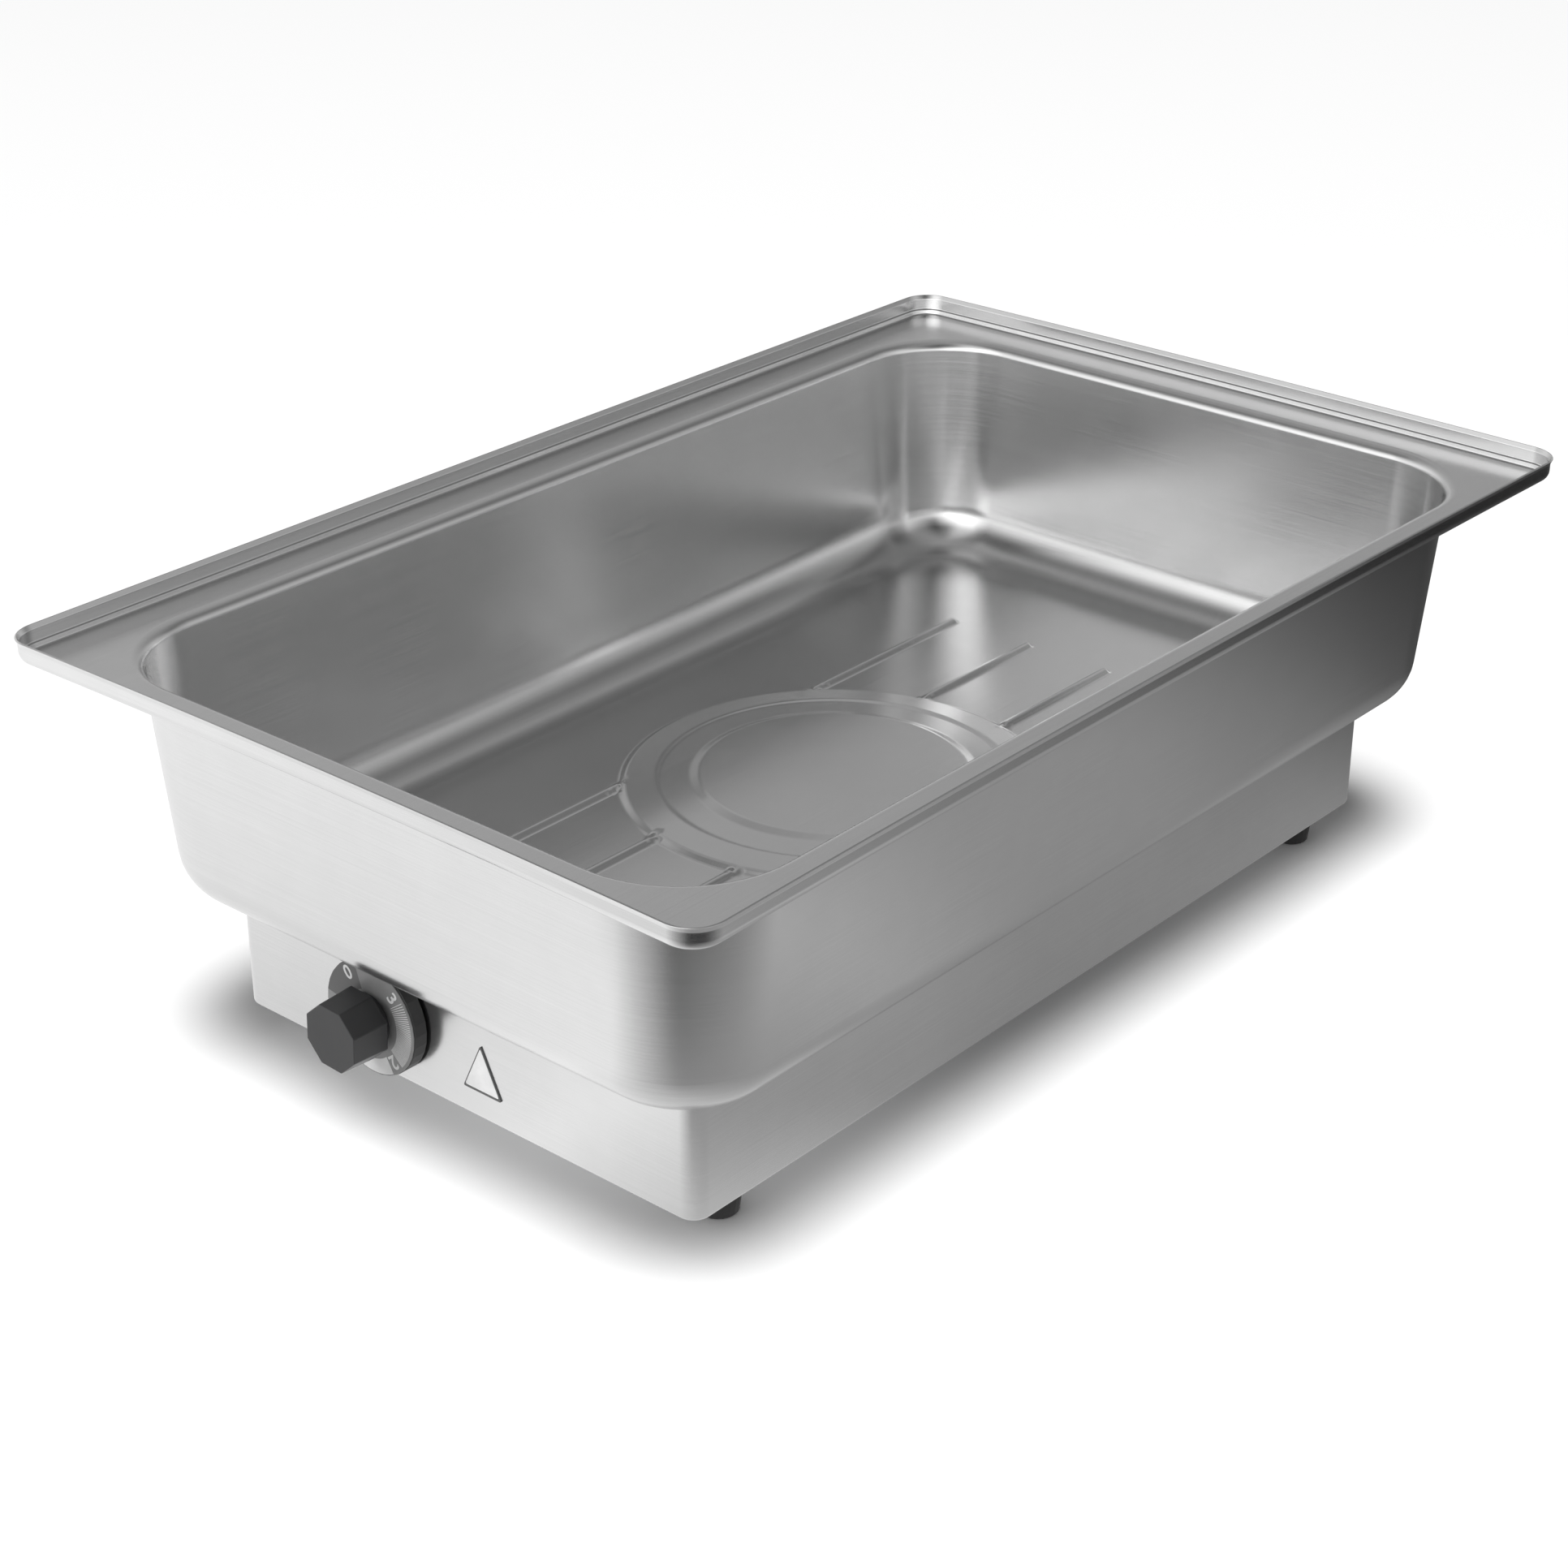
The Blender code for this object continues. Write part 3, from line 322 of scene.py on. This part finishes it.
def bead_height(x, y):
    height = np.zeros_like(x)
    for centre in BEAD_X:
        past = np.maximum(np.abs(y) - (BEAD_END - BEAD_HALF), 0.0)
        short = np.maximum(BEAD_START - np.abs(y), 0.0)
        away = np.sqrt((x - centre) ** 2 + past**2 + short**2)
        share = np.clip(away / BEAD_HALF, 0.0, 1.0)
        height = np.maximum(height, BEAD_HEIGHT * (0.5 + 0.5 * np.cos(math.pi * share)))
    return height


def floor_height(x, y):
    """How far the floor stands above its plain level."""
    low, high = platform_height(np.hypot(x, y)), bead_height(x, y)
    near = np.maximum(JOIN - np.abs(low - high), 0.0)
    return np.maximum(low, high) + near**2 / (4 * JOIN)


def floor_points(edge):
    """Points over the floor, close together across every step and bead."""
    fine = np.arange(-1.8, 1.81, 0.45)
    radii = [8.0, 20.0, 34.0, 46.0, 52.0]
    for r, _ in PLATFORM:
        radii += list(r + fine)
    radii += [65.0, 69.0, 79.5, 83.5, 95.0]
    points = [(0.0, 0.0)]
    for r in sorted(radii):
        count = 180 if r > 40 else 48
        for k in range(count):
            angle = 2 * math.pi * (k + 0.5) / count
            points.append((r * math.cos(angle), r * math.sin(angle)))
    across = np.linspace(-BEAD_HALF, BEAD_HALF, 15)
    for centre in BEAD_X:
        start = math.sqrt(93.5**2 - centre**2)
        for sign in (-1, 1):
            for y in np.arange(start, BEAD_END - BEAD_HALF + 0.01, 3.0):
                points += [(centre + u, sign * y) for u in across]
                points += [(centre + u, sign * y) for u in (-6.0, 6.0)]
            for away in across[8:]:
                for k in range(13):
                    angle = math.pi * k / 12
                    out = (centre + away * math.cos(angle), BEAD_END - BEAD_HALF + away * math.sin(angle))
                    points.append((out[0], sign * out[1]))
    for x in np.arange(-114.0, 115.0, 9.5):
        for y in np.arange(-216.0, 217.0, 12.0):
            near_bead = min(abs(x - c) for c in BEAD_X) < 8 and abs(y) < BEAD_END + 6
            if math.hypot(x, y) > 99 and not near_bead:
                points.append((x, y))
    keep, seen = [], set()
    for x, y in points:
        key = (round(x / 0.12), round(y / 0.12))
        if key not in seen and abs(x) < edge[0] - 2 and abs(y) < edge[1] - 2:
            seen.add(key)
            keep.append((x, y))
    return keep


# ---------------------------------------------------------------- pan

FLANGE = -9.2  # depths below the rim's top
WALL_SLOPE = math.tan(math.radians(5.4))
MOUTH = 23.65  # the wall's line meets the flange's this far in from the rim's edge
FLOOR_BEND = 21.8
CROWN = 1.3  # the rim's sides stand this much higher in the middle
BOW = 1.65  # and the long sides bow in by this much


def pan_section():
    depth = FLOOR - TOP
    inner_low = MOUTH + (FLANGE - depth) * WALL_SLOPE
    under = FLANGE - SHEET
    wall = SHEET / math.cos(math.atan(WALL_SLOPE))
    outer_top = MOUTH + (FLANGE - under) * WALL_SLOPE - wall
    outer_low = MOUTH + (FLANGE - depth + SHEET) * WALL_SLOPE - wall
    start = inner_low + FLOOR_BEND * math.tan(math.radians(90 - 5.4) / 2)
    stops = [
        (start, depth, 0.0),
        (inner_low, depth, FLOOR_BEND),
        (MOUTH, FLANGE, 5.0),
        (3.3, FLANGE, 0.7),
        (2.9, FLANGE + 2.05, 0.35),
        (1.95, FLANGE + 2.2, 0.55),
        (1.85, -1.9, 1.0),
        (0.75, 0.02, 0.22),
        (0.0, -0.42, 0.22),
        (0.95, -2.4, 0.9),
        (0.95, under, 4.4),
        (outer_top, under, 4.0),
        (outer_low, depth - SHEET, FLOOR_BEND + SHEET),
        (start, depth - SHEET, 0.0),
    ]
    return filleted(stops, 8.0)


def shaped(x, y, z):
    """Adds the rim's crown and bow, which fade out down the wall."""
    share = max(0.0, min(1.0, (z - FLOOR - FLOOR_BEND) / 70.0))
    side = 1 - min(1.0, abs(y) / HALF[1]) ** 2
    end = 1 - min(1.0, abs(x) / HALF[0]) ** 2
    lift = CROWN * share * (side * min(1.0, abs(x) / HALF[0]) ** 8 + end * min(1.0, abs(y) / HALF[1]) ** 8)
    return (x * (1 - share * BOW * side / HALF[0]), y * (1 - share * 0.6 * BOW * end / HALF[1]), z + lift)


def make_pan():
    points, section_normals = pan_section()
    vertices, normals, rings = [], [], []
    for (offset, depth), (across, up) in zip(points, section_normals):
        radius = max(14.0 - offset, 3.0) if offset < 18.0 else 70.1 - offset
        ring, plan = plan_ring(HALF[0] - offset, HALF[1] - offset, radius, 16, 16)
        rings.append(ring)
        for (x, y), (px, py) in zip(ring, plan):
            vertices.append(shaped(x, y, TOP + depth))
            normals.append((across * px, across * py, -up))
    faces = skin(rings, 0)
    count = len(rings[0])

    edge = [tuple(p) for p in rings[0]]
    inner = floor_points((max(p[0] for p in edge), max(p[1] for p in edge)))
    loop = [(k, (k + 1) % count) for k in range(count)]
    flat, _, triangles, sources, _, _ = delaunay_2d_cdt(
        [Vector(p) for p in edge + inner], loop, [], 1, 1e-4, True
    )
    xy = np.array([(p.x, p.y) for p in flat])
    step = 0.02
    height = floor_height(xy[:, 0], xy[:, 1])
    slope_x = (floor_height(xy[:, 0] + step, xy[:, 1]) - floor_height(xy[:, 0] - step, xy[:, 1])) / (2 * step)
    slope_y = (floor_height(xy[:, 0], xy[:, 1] + step) - floor_height(xy[:, 0], xy[:, 1] - step)) / (2 * step)
    last = (len(rings) - 1) * count
    for level, first, sign in ((FLOOR, 0, 1.0), (FLOOR - SHEET, last, -1.0)):
        index = []
        for k, source in enumerate(sources):
            on_edge = [s for s in source if s < count]
            if on_edge:
                index.append(first + on_edge[0])
                continue
            index.append(len(vertices))
            vertices.append((xy[k, 0], xy[k, 1], level + height[k]))
            normal = unit(np.array((-slope_x[k], -slope_y[k], 1.0)))
            normals.append(tuple(sign * normal))
        for triangle in triangles:
            corners = [index[t] for t in triangle]
            faces.append(tuple(corners if sign > 0 else reversed(corners)))
    return vertices, faces, normals


pan_parts = make_pan()
pan = new_piece("pan_shell", pan_parts[0], pan_parts[1], steel, pan_parts[2])
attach(pan, "base")
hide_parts("water_pan")


# ---------------------------------------------------------------- casing


def make_casing():
    half_x, half_y = CASE_HIGH[0], CASE_HIGH[1]
    low, high = CASE_LOW[2], CASE_HIGH[2]
    stops = [
        (0.0, low, 1.4),
        (24.0, low, 0.2),
        (24.0, low + SHEET, 0.2),
        (SHEET, low + SHEET, 0.5),
        (SHEET, high - SHEET, 0.5),
        (16.0, high - SHEET, 0.2),
        (16.0, high, 0.2),
        (0.0, high, 1.4),
    ]
    points, section_normals = filleted(stops, 15.0, closed=True)
    vertices, normals, rings = [], [], []
    for (offset, z), (across, up) in zip(points, section_normals):
        ring, plan = plan_ring(half_x - offset, half_y - offset, max(7.5 - offset, 1.5), 10, 1)
        rings.append(ring)
        for (x, y), (px, py) in zip(ring, plan):
            vertices.append((x, y, z))
            normals.append((across * px, across * py, -up))
    return vertices, skin(rings, 0, closed=True), normals


case_parts = make_casing()
casing = new_piece("casing_shell", case_parts[0], case_parts[1], casing_steel, case_parts[2])
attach(casing, "base")
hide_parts("base_casing")


# ---------------------------------------------------------------- dial and grip


def on_dial(u, v, forward):
    """A point on the dial: u to the right and v up as seen from the front, forward from the casing."""
    return (KNOB[0] + u, KNOB[1] - forward, KNOB[2] + v)


def slab(outlines, back, front):
    """Closed slabs with the given outlines, standing on the dial. Outlines run anticlockwise."""
    vertices, faces = [], []
    for outline in outlines:
        first, count = len(vertices), len(outline)
        for forward in (back, front):
            vertices += [on_dial(u, v, forward) for u, v in outline]
        faces.append(tuple(range(first + count - 1, first - 1, -1)))
        faces.append(tuple(range(first + count, first + 2 * count)))
        for k in range(count):
            after = (k + 1) % count
            faces.append((first + k, first + after, first + count + after, first + count + k))
    return vertices, faces


def polar(radius, degrees):
    angle = math.radians(degrees)
    return (radius * math.cos(angle), radius * math.sin(angle))


def sector(inner, outer, start, end, steps):
    """An outline between two radii, each a number or a function of the share from start to end."""
    shares = [k / steps for k in range(steps + 1)]
    outside = [polar(outer(t) if callable(outer) else outer, start + (end - start) * t) for t in shares]
    inside = [polar(inner(t) if callable(inner) else inner, start + (end - start) * t) for t in shares]
    return outside + inside[::-1] if end > start else inside + outside[::-1]


DIAL_FRONT = KNOB[1] - box_mm("dial_plate")[0][1]
DIAL_R = (box_mm("dial_plate")[1][0] - box_mm("dial_plate")[0][0]) / 2
GRIP_BACK, GRIP_FRONT = 11.5, KNOB[1] - box_mm("knob_grip")[0][1]
GRIP_BACK_R, GRIP_FRONT_R = 15.1, 14.25  # out to the eight corners
GRIP_TURN = math.radians(19.7)  # how far the corners are turned from the level
HUB_R = 11.3
PRINT = 0.06  # the ink's thickness


def tick_angles():
    """From the 3 to the 2, closer and closer together."""
    angles, angle, pitch = [], 36.0, 2.9
    while angle > -43.0:
        angles.append((angle, pitch))
        angle -= pitch
        pitch = max(1.7, pitch * 0.975)
    return angles


def make_scale():
    outlines = []
    for angle, pitch in tick_angles():
        half = 0.42 + 0.1 * (36.0 - angle) / 81.0
        outlines.append(sector(14.6, 22.6, angle - half, angle + half, 1))
    outlines.append(sector(lambda t: 20.6 - 4.4 * t, 23.4, -150.0, -61.0, 30))
    return slab(outlines, DIAL_FRONT + 0.01, DIAL_FRONT + PRINT)


def digit(text, degrees, radius, size):
    """A printed digit whose foot points at the shaft."""
    curve = bpy.data.curves.new(f"digit_{text}", "FONT")
    curve.body = text
    curve.size = size * MM
    curve.align_x = "CENTER"
    curve.align_y = "CENTER"
    curve.extrude = PRINT / 2 * MM
    curve.offset = 0.16 * MM
    curve.resolution_u = 4
    draft = bpy.data.objects.new(f"draft_{text}", curve)
    bpy.context.collection.objects.link(draft)
    bpy.context.view_layer.update()
    mesh = bpy.data.meshes.new_from_object(draft.evaluated_get(bpy.context.evaluated_depsgraph_get()))
    bpy.data.objects.remove(draft)
    u, v = polar(radius, degrees)
    centre = Vector([c * MM for c in on_dial(u, v, DIAL_FRONT + PRINT / 2 + 0.01)])
    turn = Matrix.Rotation(math.pi / 2, 4, "X") @ Matrix.Rotation(math.radians(degrees - 90), 4, "Z")
    mesh.transform(Matrix.Translation(centre) @ turn)
    mesh.materials.clear()
    mesh.materials.append(dial_mark)
    piece = bpy.data.objects.new(f"dial_digit_{text}", mesh)
    bpy.context.collection.objects.link(piece)
    return piece


def make_grip():
    """An eight-sided grip that widens a little towards the dial, on a round hub."""
    vertices, faces = [], []
    rings = []
    for forward in (DIAL_FRONT + 0.35, GRIP_BACK):
        ring = []
        for k in range(24):
            angle = GRIP_TURN + 2 * math.pi * k / 24
            ring.append(on_dial(HUB_R * math.cos(angle), HUB_R * math.sin(angle), forward))
        rings.append(ring)
    for radius, forward in ((GRIP_BACK_R, GRIP_BACK), (GRIP_FRONT_R, GRIP_FRONT)):
        angles = [GRIP_TURN + math.pi * k / 4 for k in range(8)]
        corners = [(radius * math.cos(angle), radius * math.sin(angle)) for angle in angles]
        ring = []
        for k in range(8):
            a, b = corners[k], corners[(k + 1) % 8]
            for t in (0, 1 / 3, 2 / 3):
                ring.append(on_dial(a[0] + (b[0] - a[0]) * t, a[1] + (b[1] - a[1]) * t, forward))
        rings.append(ring)
    for ring in rings:
        vertices += ring
    for i in range(3):
        for k in range(24):
            after = (k + 1) % 24
            faces.append((24 * i + k, 24 * i + after, 24 * i + 24 + after, 24 * i + 24 + k))
    faces.append(tuple(range(23, -1, -1)))
    faces.append(tuple(range(72, 96)))
    return vertices, faces


grip = new_piece("grip_shell", *make_grip(), black, smooth=False)
edges = grip.modifiers.new("edges", "BEVEL")
edges.width = 0.45 * MM
edges.segments = 3
edges.limit_method = "ANGLE"
edges.angle_limit = math.radians(35)
edges.harden_normals = True
grip.data.shade_smooth()
grip.data.set_sharp_from_angle(angle=math.radians(35))
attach(grip, "knob")
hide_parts("knob_grip")

scale = new_piece("dial_scale", *make_scale(), dial_mark, smooth=False)
off_sector = new_piece(
    "dial_off_sector",
    *slab([sector(12.0, DIAL_R - 0.1, 108.5, 170.0, 16)], DIAL_FRONT + 0.005, DIAL_FRONT + 0.03),
    dial_dark,
    smooth=False,
)
marks = [scale, off_sector]
for text, degrees, radius in (("0", 125.0, 19.3), ("3", 46.0, 18.6), ("2", -52.0, 18.9), ("1", -158.0, 18.6)):
    marks.append(digit(text, degrees, radius, 8.2))
for piece in marks:
    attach(piece, "knob")


# ---------------------------------------------------------------- triangular plate


def make_triangle(side_inset, foot_inset, back, front):
    """The plate's outline moved in from its slanting sides and its foot, with rounded corners."""
    low, high = box_mm("triangle_plate")
    middle, height, half = (low[0] + high[0]) / 2, high[2] - low[2], (high[0] - low[0]) / 2
    slant = math.hypot(half, height)
    apex = high[2] - side_inset * slant / half
    foot = low[2] + foot_inset
    reach = (apex - foot) * half / height
    corners = [np.array(c) for c in ((middle - reach, foot), (middle + reach, foot), (middle, apex))]
    outline = []
    for i, corner in enumerate(corners):
        last, after = unit(corners[i - 1] - corner), unit(corners[(i + 1) % 3] - corner)
        for t in (0.0, 0.25, 0.5, 0.75, 1.0):
            outline.append(corner + last * 1.1 * (1 - t) ** 2 + after * 1.1 * t**2)
    count = len(outline)
    vertices = [(x, KNOB[1] - depth, z) for depth in (back, front) for x, z in outline]
    faces = [tuple(range(count - 1, -1, -1)), tuple(range(count, 2 * count))]
    faces += [(k, (k + 1) % count, count + (k + 1) % count, count + k) for k in range(count)]
    return vertices, faces


# The dark slab shows round the light face. Along the slanting sides it is a thin printed border; along the foot it
# is a wider band of painted shadow under the plate.
border_and_shadow_plate = new_piece("triangle_border_and_painted_shadow", *make_triangle(0.0, 0.0, 0.0, 0.55), plate_border_and_shadow, smooth=False)
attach(border_and_shadow_plate, "base")
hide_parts("triangle_plate")
face_plate = new_piece("triangle_face", *make_triangle(0.5, 1.15, 0.56, 0.62), plate_face, smooth=False)
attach(face_plate, "base")


# ---------------------------------------------------------------- materials of the CAD nodes

zinc = plated("zinc_plate", (0.55, 0.56, 0.58), 0.36)
galvanised = plated("galvanised_sheet", (0.50, 0.51, 0.52), 0.42, 25.0)
copper = plated("drawn_copper", (0.72, 0.40, 0.25), 0.36)
aluminium = plated("aluminium_plate", (0.72, 0.73, 0.74), 0.36)
sheath = plated("oxidised_sheath", (0.28, 0.26, 0.24), 0.48)
phenolic = moulded("phenolic_moulding", (0.06, 0.04, 0.03), 0.5)
ceramic = moulded("glazed_ceramic", (0.80, 0.78, 0.72), 0.3, 900.0, 0.05)
nylon = moulded("black_nylon_moulding", (0.03, 0.03, 0.03), 0.5)
wool = moulded("mineral_wool", (0.82, 0.80, 0.74), 0.92, 600.0, 0.9)
brown = moulded("brown_silicone", (0.20, 0.09, 0.04), 0.5)
blue = moulded("blue_silicone", (0.05, 0.15, 0.45), 0.5)
green = moulded("green_silicone", (0.20, 0.45, 0.08), 0.5)
BY_SLOT = {
    "stainless_steel": steel,
    "casing_steel": casing_steel,
    "galvanised_steel": galvanised,
    "zinc_plated_steel": zinc,
    "black_rubber": rubber,
    "knob_plastic": skirt_black,
    "dial_print": dial_grey,
    "plate_grey": plate_face,
    "phenolic": phenolic,
    "ceramic": ceramic,
    "aluminium": aluminium,
    "element_sheath": sheath,
    "copper": copper,
    "insulation_wool": wool,
    "black_nylon": nylon,
    "brown_lead": brown,
    "blue_lead": blue,
    "green_lead": green,
}
for entry in frame["record"]["subparts"]:
    node = frame["nodes"].get(entry["node"])
    if node is not None:
        for slot in node.material_slots:
            slot.material = BY_SLOT[entry["material_slot"]]


# ---------------------------------------------------------------- studio


def emission(name):
    """Light whose strength is each vertex's own level."""
    material = bpy.data.materials.new(name)
    material.use_nodes = True
    tree = material.node_tree
    tree.nodes.clear()
    output = tree.nodes.new("ShaderNodeOutputMaterial")
    light = tree.nodes.new("ShaderNodeEmission")
    tree.links.new(light.outputs[0], output.inputs["Surface"])
    level = tree.nodes.new("ShaderNodeAttribute")
    level.attribute_name = "light"
    tree.links.new(level.outputs["Fac"], light.inputs["Strength"])
    material.cycles.emission_sampling = "NONE"
    return material


# Light levels that only reflections see. They were solved by least squares for this camera's view,
# so from other sides the steel's brightness is only what they happen to give.
# The light tent, by azimuth (columns, every 24 degrees from -180) and elevation (rows)
TENT_AZIMUTHS = np.arange(-180.0, 180.0, 24.0)
TENT_ELEVATIONS = (0.0, 14.0, 30.0, 50.0, 90.0)
TENT_LEVELS = np.array(
    (
        (0.96, 1.07, 1.19, 1.51, 1.91, 2.00, 1.72, 1.27, 0.79, 0.43, 0.45, 0.59, 0.70, 0.79, 0.86),
        (1.05, 1.35, 1.38, 1.85, 2.50, 2.51, 1.69, 1.34, 1.01, 0.63, 0.54, 0.72, 0.52, 0.49, 0.66),
        (0.74, 0.84, 1.03, 2.00, 2.37, 1.54, 0.29, 0.63, 0.92, 0.58, 0.15, 0.31, 0.34, 0.46, 0.53),
        (0.39, 0.18, 0.18, 0.86, 0.92, 0.19, 0.00, 0.25, 0.33, 0.21, 0.19, 0.30, 0.43, 0.47, 0.33),
        (0.39,) * 15,
    )
)
# The same for the light sheet on the ground, by distance from the base in metres (rows)
SHEET_DISTANCES = (0.0, 0.16, 0.38, 0.9)
SHEET_LEVELS = np.array(
    (
        (0.78, 0.92, 0.97, 0.89, 1.18, 0.78, 0.39, 0.29, 0.30, 0.31, 0.37, 0.31, 0.32, 0.43, 0.60),
        (0.80, 0.97, 1.10, 1.16, 1.19, 0.18, 0.39, 0.62, 0.41, 0.38, 0.10, 0.06, 0.20, 0.40, 0.61),
        (0.90, 1.14, 1.30, 1.10, 0.50, 0.00, 0.00, 0.26, 0.20, 0.00, 0.03, 0.09, 0.22, 0.42, 0.65),
        (0.93, 1.10, 1.13, 0.94, 0.59, 0.26, 0.09, 0.07, 0.07, 0.03, 0.02, 0.10, 0.24, 0.45, 0.69),
    )
)


def table_level(levels, rows, azimuth, row):
    """A level read from a table that goes round in azimuth."""
    round_trip = np.append(TENT_AZIMUTHS, 180.0)
    across = [np.interp(azimuth, round_trip, np.append(line, line[0])) for line in levels]
    return float(np.interp(row, rows, across))


def stage_mesh(name, vertices, faces, levels, material):
    mesh = bpy.data.meshes.new(name)
    mesh.from_pydata(vertices, [], faces)
    mesh.update()
    mesh.shade_smooth()
    attribute = mesh.attributes.new("light", "FLOAT", "POINT")
    attribute.data.foreach_set("value", np.asarray(levels, np.float32))
    mesh.materials.append(material)
    piece = bpy.data.objects.new(name, mesh)
    bpy.context.collection.objects.link(piece)
    piece.visible_camera = False
    piece.visible_diffuse = False
    piece.visible_shadow = False
    piece.visible_transmission = False
    return piece


def make_tent():
    """A light tent round the object, which only reflections see."""
    vertices, levels, faces = [], [], []
    columns, rows, radius = 96, 24, 4.0
    for i in range(rows + 1):
        elevation = 90.0 * i / rows
        for k in range(columns):
            azimuth = 360.0 * k / columns - 180.0
            e, a = math.radians(min(elevation, 89.0)), math.radians(azimuth)
            level, height = radius * math.cos(e), radius * math.sin(e) - 0.01
            vertices.append((level * math.cos(a), level * math.sin(a), height))
            levels.append(table_level(TENT_LEVELS, TENT_ELEVATIONS, azimuth, elevation))
    for i in range(rows):
        for k in range(columns):
            after = (k + 1) % columns
            low, high = i * columns, (i + 1) * columns
            faces.append((low + k, low + after, high + after, high + k))
    faces.append(tuple(rows * columns + k for k in range(columns)))
    return stage_mesh("light_tent", vertices, faces, levels, emission("tent_light"))


def sheet_light(x, y):
    """The brightness of the sheet on the ground, by place in metres."""
    away = math.hypot(max(abs(x) - 0.12, 0.0), max(abs(y) - 0.22, 0.0))
    return table_level(SHEET_LEVELS, SHEET_DISTANCES, math.degrees(math.atan2(y, x)), away)


def make_sheet():
    size, count = 3.9, 120
    vertices, levels, faces = [], [], []
    spread = [math.copysign(abs(t) ** 2.2, t) * size for t in np.linspace(-1, 1, count + 1)]
    for y in spread:
        for x in spread:
            vertices.append((x, y, 0.0004))
            levels.append(sheet_light(x, y))
    for i in range(count):
        for k in range(count):
            a = i * (count + 1) + k
            faces.append((a, a + 1, a + count + 2, a + count + 1))
    return stage_mesh("light_sheet", vertices, faces, levels, emission("sheet_light"))


make_tent()
make_sheet()

ground_mesh = bpy.data.meshes.new("studio_floor")
ground_mesh.from_pydata([(-30, -30, 0), (30, -30, 0), (30, 30, 0), (-30, 30, 0)], [], [(0, 1, 2, 3)])
ground = bpy.data.objects.new("studio_floor", ground_mesh)
floor_white = new_material("studio_floor_white", (0.93, 0.93, 0.93), 0.9, Specular_IOR_Level=0.0)
ground_mesh.materials.append(floor_white)
bpy.context.collection.objects.link(ground)

world = bpy.data.worlds.new("studio_air")
world.use_nodes = True
world.node_tree.nodes["Background"].inputs["Color"].default_value = (1.0, 1.0, 1.0, 1.0)
world.node_tree.nodes["Background"].inputs["Strength"].default_value = 0.15
bpy.context.scene.world = world

floor_only = bpy.data.collections.new("floor_only")
floor_only.objects.link(ground)
all_but_floor = bpy.data.collections.new("all_but_floor")
all_but_floor.objects.link(ground)
all_but_floor.collection_objects[0].light_linking.link_state = "EXCLUDE"
no_flag = bpy.data.collections.new("no_flag")


def softbox(name, place, target, size, power, shape="RECTANGLE"):
    light = bpy.data.lights.new(name, "AREA")
    light.shape = shape
    light.size, light.size_y = size
    light.energy = power
    lamp = bpy.data.objects.new(name, light)
    lamp.location = place
    lamp.rotation_mode = "QUATERNION"
    lamp.rotation_quaternion = (Vector(target) - Vector(place)).to_track_quat("-Z", "Y")
    lamp.visible_glossy = False
    lamp.light_linking.receiver_collection = all_but_floor
    lamp.light_linking.blocker_collection = no_flag
    bpy.context.collection.objects.link(lamp)
    return lamp


softbox("overhead_softbox", (-0.3, -0.2, 2.2), (0.0, 0.0, 0.0), (2.6, 2.6), 35.0)
softbox("front_softbox", (-1.5, -2.0, 1.3), (0.0, 0.0, 0.05), (1.6, 1.2), 38.0)


FLAG_HEIGHT = 44.0
FLAG = ((-154.0, -249.0), (145.6, 257.0))  # its corners, seen from above
FLAG_CORNER = 45.0


def make_flag():
    """A flag hidden under the pan, which gives the floor wash its soft shadow round the base."""
    (left, front), (right, back) = FLAG
    middle = ((left + right) / 2, (front + back) / 2)
    ring, _ = plan_ring((right - left) / 2, (back - front) / 2, FLAG_CORNER, 8, 1)
    vertices = [((x + middle[0]) * MM, (y + middle[1]) * MM, FLAG_HEIGHT * MM) for x, y in ring]
    mesh = bpy.data.meshes.new("floor_flag")
    mesh.from_pydata(vertices, [], [tuple(range(len(ring)))])
    mesh.update()
    mesh.materials.append(new_material("flag_black", (0.02, 0.02, 0.02), 0.9))
    flag = bpy.data.objects.new("floor_flag", mesh)
    bpy.context.collection.objects.link(flag)
    for way in ("camera", "diffuse", "glossy", "transmission"):
        setattr(flag, f"visible_{way}", False)
    return flag


WASH_FROM = Vector((0.20, -0.275, 1.0))  # the direction of the floor wash, as seen from the base
WASH_AWAY = 12.0
WASH_SIZE = 2 * 0.54 * WASH_AWAY
wash_place = WASH_FROM * WASH_AWAY
wash = softbox("floor_wash", wash_place, (0.0, 0.0, 0.0), (WASH_SIZE, WASH_SIZE), 2100.0, "DISK")
wash_only = bpy.data.collections.new("floor_wash_blockers")
flag = make_flag()
wash_only.objects.link(flag)
no_flag.objects.link(flag)
no_flag.collection_objects[0].light_linking.link_state = "EXCLUDE"
wash.light_linking.receiver_collection = floor_only
wash.light_linking.blocker_collection = wash_only


# ---------------------------------------------------------------- camera

camera_data = bpy.data.cameras.new("product_camera")
camera_data.sensor_width = 36.0
camera_data.lens = 70.80
camera_data.clip_start = 0.01
camera_data.clip_end = 100.0
camera = bpy.data.objects.new("product_camera", camera_data)
right = Vector((0.758176, 0.652049, 0.000291))
up = Vector((-0.292469, 0.339672, 0.893915))
back = Vector((0.58277789, -0.67783063, 0.44823607))
turn = Matrix((right, up, back)).transposed().to_4x4()
camera.matrix_world = Matrix.Translation((0.73968, -0.89271, 0.64657)) @ turn
bpy.context.collection.objects.link(camera)
bpy.context.scene.camera = camera
bpy.context.scene.view_settings.view_transform = "Standard"
